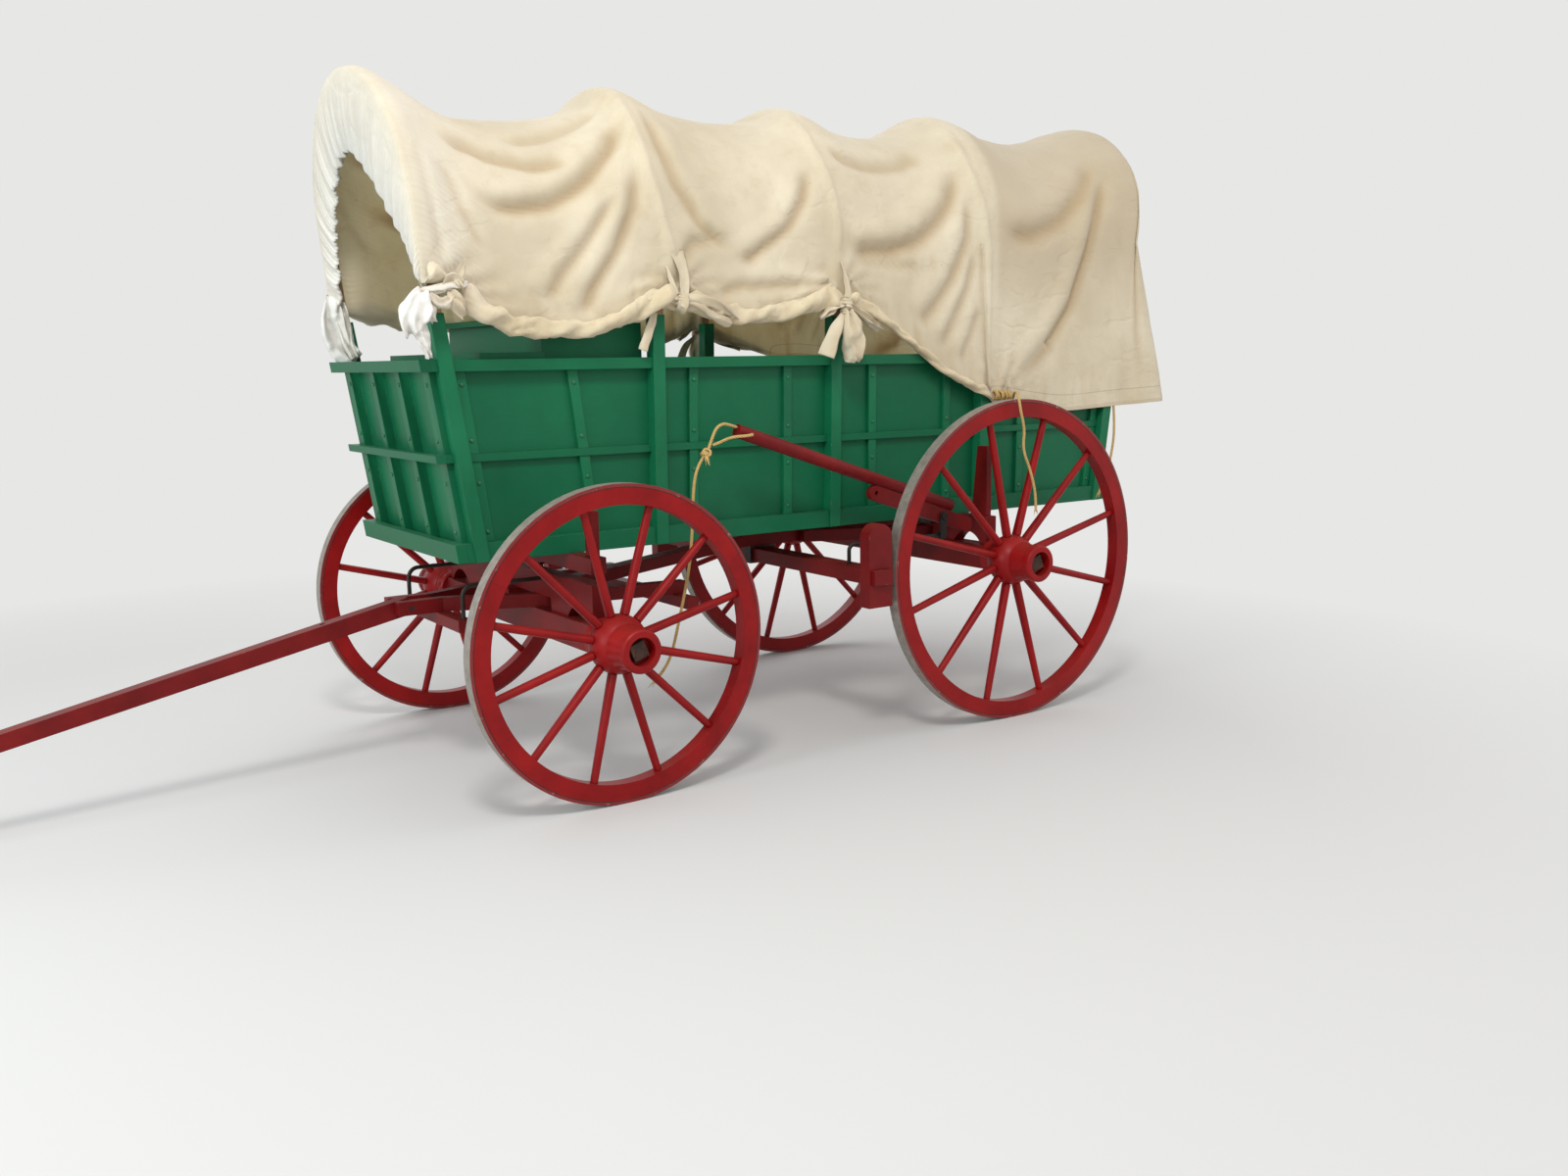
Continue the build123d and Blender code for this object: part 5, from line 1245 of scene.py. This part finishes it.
# widths, depth of the folds and the line in millimetres, paleness, which is painted front light, in percent
ties = {
    "tieOneBand": {"kind": "fold", "widths": (26, 22, 20), "depth": 6, "pale": 50, "line": [
        (542, 552, 1754), (514, 568, 1758), (479, 572, 1764), (443, 572, 1774), (412, 572, 1778),
        (384, 566, 1784),
    ]},
    "tieOneEnd": {"kind": "strap", "widths": (20, 28, 8), "depth": 6, "line": [
        (429, 578, 1779), (420, 584, 1797), (409, 584, 1820), (399, 580, 1841), (390, 574, 1862),
    ]},
    "tieOneFlap": {"kind": "strap", "widths": (16, 26, 18), "depth": 5, "line": [
        (465, 570, 1772), (461, 580, 1793), (441, 586, 1807), (420, 584, 1801), (410, 576, 1783),
    ]},
    "tieOneFoldRight": {"kind": "fold", "widths": (30, 56, 40), "depth": 14, "line": [
        (443, 560, 1762), (438, 580, 1737), (425, 584, 1709), (401, 570, 1677),
    ]},
    "tieOneFoldMiddle": {"kind": "fold", "widths": (30, 44, 30), "depth": 14, "pale": 30, "line": [
        (515, 560, 1752), (509, 586, 1729), (493, 596, 1713), (468, 590, 1715), (435, 566, 1736),
    ]},
    "tieOneFoldLow": {"kind": "fold", "widths": (36, 50, 26), "depth": 14, "pale": 50, "line": [
        (527, 562, 1750), (530, 588, 1712), (526, 594, 1682), (508, 580, 1660),
    ]},
    "tieOneBunch": {"kind": "bunch", "widths": (50, 104, 70), "depth": 22, "pale": 85, "line": [
        (534, 556, 1756), (556, 580, 1718), (576, 594, 1682), (584, 594, 1650), (572, 584, 1620),
    ]},
    "tieOneTail": {"kind": "fold", "widths": (56, 42, 24), "depth": 12, "pale": 80, "line": [
        (562, 586, 1652), (555, 596, 1612), (543, 592, 1576), (533, 584, 1543),
    ]},
    "farTieBunch": {"kind": "bunch", "widths": (60, 130, 90), "depth": 26, "pale": 90, "line": [
        (520, -452, 1786), (528, -454, 1731), (520, -450, 1670), (510, -448, 1610), (492, -442, 1566),
        (456, -436, 1538),
    ]},
    "farTieFold": {"kind": "fold", "widths": (40, 50, 30), "depth": 18, "pale": 70, "line": [
        (506, -424, 1762), (500, -424, 1709), (492, -424, 1649), (486, -422, 1595), (466, -420, 1550),
    ]},
    "tieTwoStrap": {"kind": "strap", "widths": (52, 46, 38), "depth": 8, "line": [
        (-440, 526, 1912), (-450, 536, 1880), (-457, 544, 1835), (-452, 560, 1788), (-438, 580, 1750),
    ]},
    "tieTwoTip": {"kind": "strap", "widths": (8, 22, 30), "depth": 5, "line": [
        (-393, 532, 1862), (-398, 546, 1827), (-402, 558, 1794), (-412, 570, 1758),
    ]},
    "tieTwoOver": {"kind": "strap", "widths": (34, 42, 34), "depth": 8, "line": [
        (-446, 560, 1772), (-430, 594, 1746), (-420, 596, 1718), (-424, 572, 1696), (-430, 540, 1696),
    ]},
    "tieTwoGatherUp": {"kind": "fold", "widths": (30, 44, 20), "depth": 12, "line": [
        (-436, 562, 1748), (-481, 582, 1749), (-533, 580, 1740), (-591, 568, 1722), (-653, 552, 1697),
        (-707, 538, 1672),
    ]},
    "tieTwoGatherLow": {"kind": "fold", "widths": (34, 46, 22), "depth": 14, "line": [
        (-438, 564, 1722), (-473, 584, 1716), (-518, 582, 1698), (-584, 568, 1680), (-655, 548, 1660),
    ]},
    "tieTwoLip": {"kind": "fold", "widths": (22, 30, 30), "depth": 10, "line": [
        (-296, 548, 1738), (-330, 564, 1752), (-368, 570, 1756), (-408, 566, 1744),
    ]},
    "tieTwoTail": {"kind": "strap", "widths": (30, 34, 36), "depth": 3, "line": [
        (-342, 522, 1700), (-334, 530, 1672), (-320, 532, 1645), (-304, 532, 1608), (-287, 530, 1561),
    ]},
    "tieThreeStrap": {"kind": "strap", "widths": (12, 34, 34), "depth": 6, "line": [
        (-1194, 524, 1902), (-1205, 536, 1856), (-1207, 548, 1811), (-1197, 568, 1774),
        (-1184, 580, 1740),
    ]},
    "tieThreeTail": {"kind": "strap", "widths": (22, 54, 70), "depth": 8, "line": [
        (-1170, 570, 1702), (-1146, 584, 1672), (-1118, 586, 1636), (-1098, 584, 1590),
        (-1078, 578, 1532),
    ]},
    "tieThreeBunch": {"kind": "fullBunch", "widths": (45, 104, 60), "depth": 20, "line": [
        (-1188, 558, 1716), (-1195, 580, 1673), (-1202, 588, 1626), (-1205, 584, 1573),
        (-1209, 570, 1509),
    ]},
    "tieThreeFold": {"kind": "fold", "widths": (20, 34, 26), "depth": 12, "line": [
        (-1072, 546, 1682), (-1112, 562, 1713), (-1141, 572, 1733), (-1178, 572, 1742),
    ]},
    "tieThreeFoldRear": {"kind": "fold", "widths": (30, 38, 20), "depth": 14, "line": [
        (-1182, 566, 1742), (-1226, 572, 1720), (-1276, 562, 1687), (-1328, 546, 1662),
        (-1392, 530, 1636),
    ]},
    "bowFourStrap": {"kind": "strap", "widths": (8, 16, 18), "depth": 2, "line": [
        (-1950, 526, 2000), (-1957, 530, 1864), (-1964, 532, 1752), (-1980, 532, 1573),
        (-1999, 534, 1384),
    ]},
}
knots = {
    "tieTwoKnot": {
        "at": (-429, 572, 1729), "axis": (0.35, 0.1, -0.9), "turns": 2.1, "reach": 0.015, "pitch": 0.013,
        "width": 24,
    },
    "tieThreeKnot": {
        "at": (-1180, 572, 1738), "axis": (0.2, 0.1, -0.95), "turns": 2.1, "reach": 0.015, "pitch": 0.013,
        "width": 22,
    },
    "tieThreeKnotLow": {
        "at": (-1178, 572, 1702), "axis": (0.5, 0.3, -0.6), "turns": 1.3, "reach": 0.011, "pitch": 0.010,
        "width": 18,
    },
    "tieOneKnot": {
        "at": (412, 572, 1782), "axis": (0.85, 0.1, -0.4), "turns": 1.5, "reach": 0.010, "pitch": 0.010,
        "width": 16,
    },
}
knotCoil = {"perTurn": 10, "rate": 1.7, "start": 0, "slip": 0}
# the far side is tied at the same bows, a little lower, as its hem is
farDrop = {"tieTwo": 10, "tieThree": 62}


def clothStrip(name, points, look, side=Vector((1, 0, 0))):
    # a closed strip of cloth along a smooth line, folded and puffed out across its width
    count, half = look["steps"], look["rows"]
    path, length = evenly(smoothLine(points), count)
    frames = lineFrames(path, side)
    start, middle, end = (width / 1000 for width in look["widths"])
    depth, pale = look["depth"] / 1000, look.get("pale", 0) / 100
    seed = sum(ord(c) for c in name) * 0.37

    def across(j):
        return 1 - 2 * j / half if j < half else -1 + 2 * (j - half) / half

    def foldAt(u, t):
        wave = sin(look["pleats"] * pi * u + look["turn"] * 5 * t + seed)
        return 0.5 * wave + 0.9 * lump(u * look["pleats"] * 1.1, t * 2.6, seed)

    def widthAt(t):
        if t < 0.5:
            return start + (middle - start) * smooth(2 * t)
        return middle + (end - middle) * smooth(2 * t - 1)

    def place(i, j):
        p, tangent, flat, high = frames[i]
        j %= 2 * half
        t, u, face = i / count, across(j), 1 if j < half else -1
        edge = sqrt(max(1 - abs(u) ** 4, 0.0))
        ends = smooth(min(t, 1 - t) / 0.10)
        puff = look["puff"] * edge * (0.35 + 0.65 * ends) * (1 + 0.5 * lump(u * 2, t * 5, seed + 3))
        lift = depth * foldAt(u, t) + face * (look["thick"] * 0.5 * edge + puff)
        ragged = noise.noise(p * 38 + flat * u * 2 + Vector((0, 0, seed))) * look["rough"]
        out = widthAt(t) * 0.5 * u * (1 + 0.12 * lump(t * 4, u, seed))
        return p + flat * out + high * (lift + ragged)

    marks = {
        # painted shade in the valleys of the strip's folds
        "crease": lambda i, j: 0.5 * smooth(0.3 - foldAt(across(j % (2 * half)), i / count)),
        # the paleness is painted front light
        "pale": lambda i, j: pale,
        "hem": lambda i, j: 0.0,
        "rearShadeRollTone": lambda i, j: 0.0,
    }
    bm = surfaceGrid(count, 2 * half, place, lambda i, j: (length * i / count, 0.04 * j / half), marks)
    closeTube(bm)
    return finish(bm, name, "wagon", materials["canvasTie"])


def clothKnot(name, knot):
    # a strap wound round itself
    line = coilLine(fromAxle(*knot["at"]), Vector((0, 1, 0)), {**knotCoil, **knot})
    width = knot["width"]
    own = {"steps": int(knot["turns"] * 24), "widths": (width, width * 1.15, width), "depth": 6}
    return clothStrip(name, line, {**tieKinds["fold"], **own}, Vector(knot["axis"]).normalized())


def onFarSide(point, drop):
    x, y, z = point
    return x, -y, z - drop


for stem, drop in farDrop.items():
    for name in [name for name in ties if name.startswith(stem)]:
        line = [onFarSide(point, drop) for point in ties[name]["line"]]
        ties[name.replace("tie", "farTie", 1)] = {**ties[name], "line": line}
    for name in [name for name in knots if name.startswith(stem)]:
        at = onFarSide(knots[name]["at"], drop)
        knots[name.replace("tie", "farTie", 1)] = {**knots[name], "at": at}
for name, tie in ties.items():
    points = [fromAxle(*point) for point in tie["line"]]
    clothStrip(name, points, {**tieKinds[tie["kind"]], **tie})
for name, knot in knots.items():
    clothKnot(name, knot)
print("ties made")

# bolt heads on the battens of the sides and of the front gate

bolts = {
    "radius": 0.0085, "crown": 0.62, "height": 0.0045, "seat": 0.42, "edge": 0.0018, "sideFace": 0.478,
    "rows": (0.945, 1.115, 1.262, 1.452), "bedTop": 1.537, "bedFoot": 0.845,
    # each batten's top and foot, along the bed
    "battens": [
        (398, 306), (-22, -103), (-531, -513), (-963, -953), (-1390, -1384), (-1800, -1794), (-2245, -2232),
        (-2757, -2665),
    ],
    "gateColumns": (-0.420, -0.140, 0.140, 0.420), "frontTop": 0.379, "rake": 0.143,
}


def boltHeads(name, places, material):
    bm = bmesh.new()
    for at, way in places:
        way = Vector(way).normalized()
        head = bmesh.ops.create_cone(
            bm, segments=12, radius1=bolts["radius"], radius2=bolts["radius"] * bolts["crown"],
            depth=bolts["height"], cap_ends=True,
        )["verts"]
        touching = dict.fromkeys(edge for v in head for edge in v.link_edges)
        rim = [edge for edge in touching if all(v.co.z > 0 for v in edge.verts)]
        seat = Matrix.Translation(Vector(at) + way * bolts["height"] * bolts["seat"])
        bmesh.ops.transform(bm, matrix=seat @ turnOnto(way), verts=head)
        bmesh.ops.bevel(
            bm, geom=rim, offset=bolts["edge"], offset_type="OFFSET", segments=2, profile=0.5,
            affect="EDGES", material=-1,
        )
    finish(bm, name, "wagon", material)


places = []
for top, foot in bolts["battens"]:
    for z in bolts["rows"]:
        share = (z - bolts["bedFoot"]) / (bolts["bedTop"] - bolts["bedFoot"])
        x = axleX + (foot + (top - foot) * share) / 1000
        for side in (1, -1):
            places.append(((x, side * bolts["sideFace"], z), (0, side, 0)))
for y in bolts["gateColumns"]:
    for z in bolts["rows"]:
        x = bolts["frontTop"] - bolts["rake"] * (bolts["bedTop"] - z)
        places.append(((x, y, z), (1, 0, -bolts["rake"])))
boltHeads("boltHeads", places, materials["greenIron"])
print("bolts set")

# the dark joint between each tyre and its felloes

seam = {"tyre": 0.012, "wide": 0.0014, "proud": 0.0004, "deep": 0.0010, "steps": 120}


def tyreSeams(corner):
    low, high = (Vector(point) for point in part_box(f"{corner}_tyre"))
    middle = (low + high) / 2
    radius = (high.z - low.z) / 2 - seam["tyre"]
    section = ((-seam["wide"], 0), (0, seam["proud"]), (seam["wide"], 0), (0, -seam["deep"]))
    bm = bmesh.new()
    for faceY, out in ((low.y, -1), (high.y, 1)):
        profile = [bm.verts.new((middle.x, faceY + out * y, middle.z + radius + r)) for r, y in section]
        edges = [bm.edges.new((a, b)) for a, b in zip(profile, profile[1:] + profile[:1])]
        bmesh.ops.spin(
            bm, geom=profile + edges, cent=middle, axis=(0, 1, 0), angle=2 * pi, steps=seam["steps"],
            use_merge=True,
        )
    bmesh.ops.remove_doubles(bm, verts=bm.verts, dist=1e-6)
    bmesh.ops.recalc_face_normals(bm, faces=bm.faces)
    name = "seam" + corner.title().replace("_", "") + "Wheel"
    finish(bm, name, f"{corner}_wheel", materials["iron"])


for corner in corners:
    tyreSeams(corner)
print("tyre joints drawn")
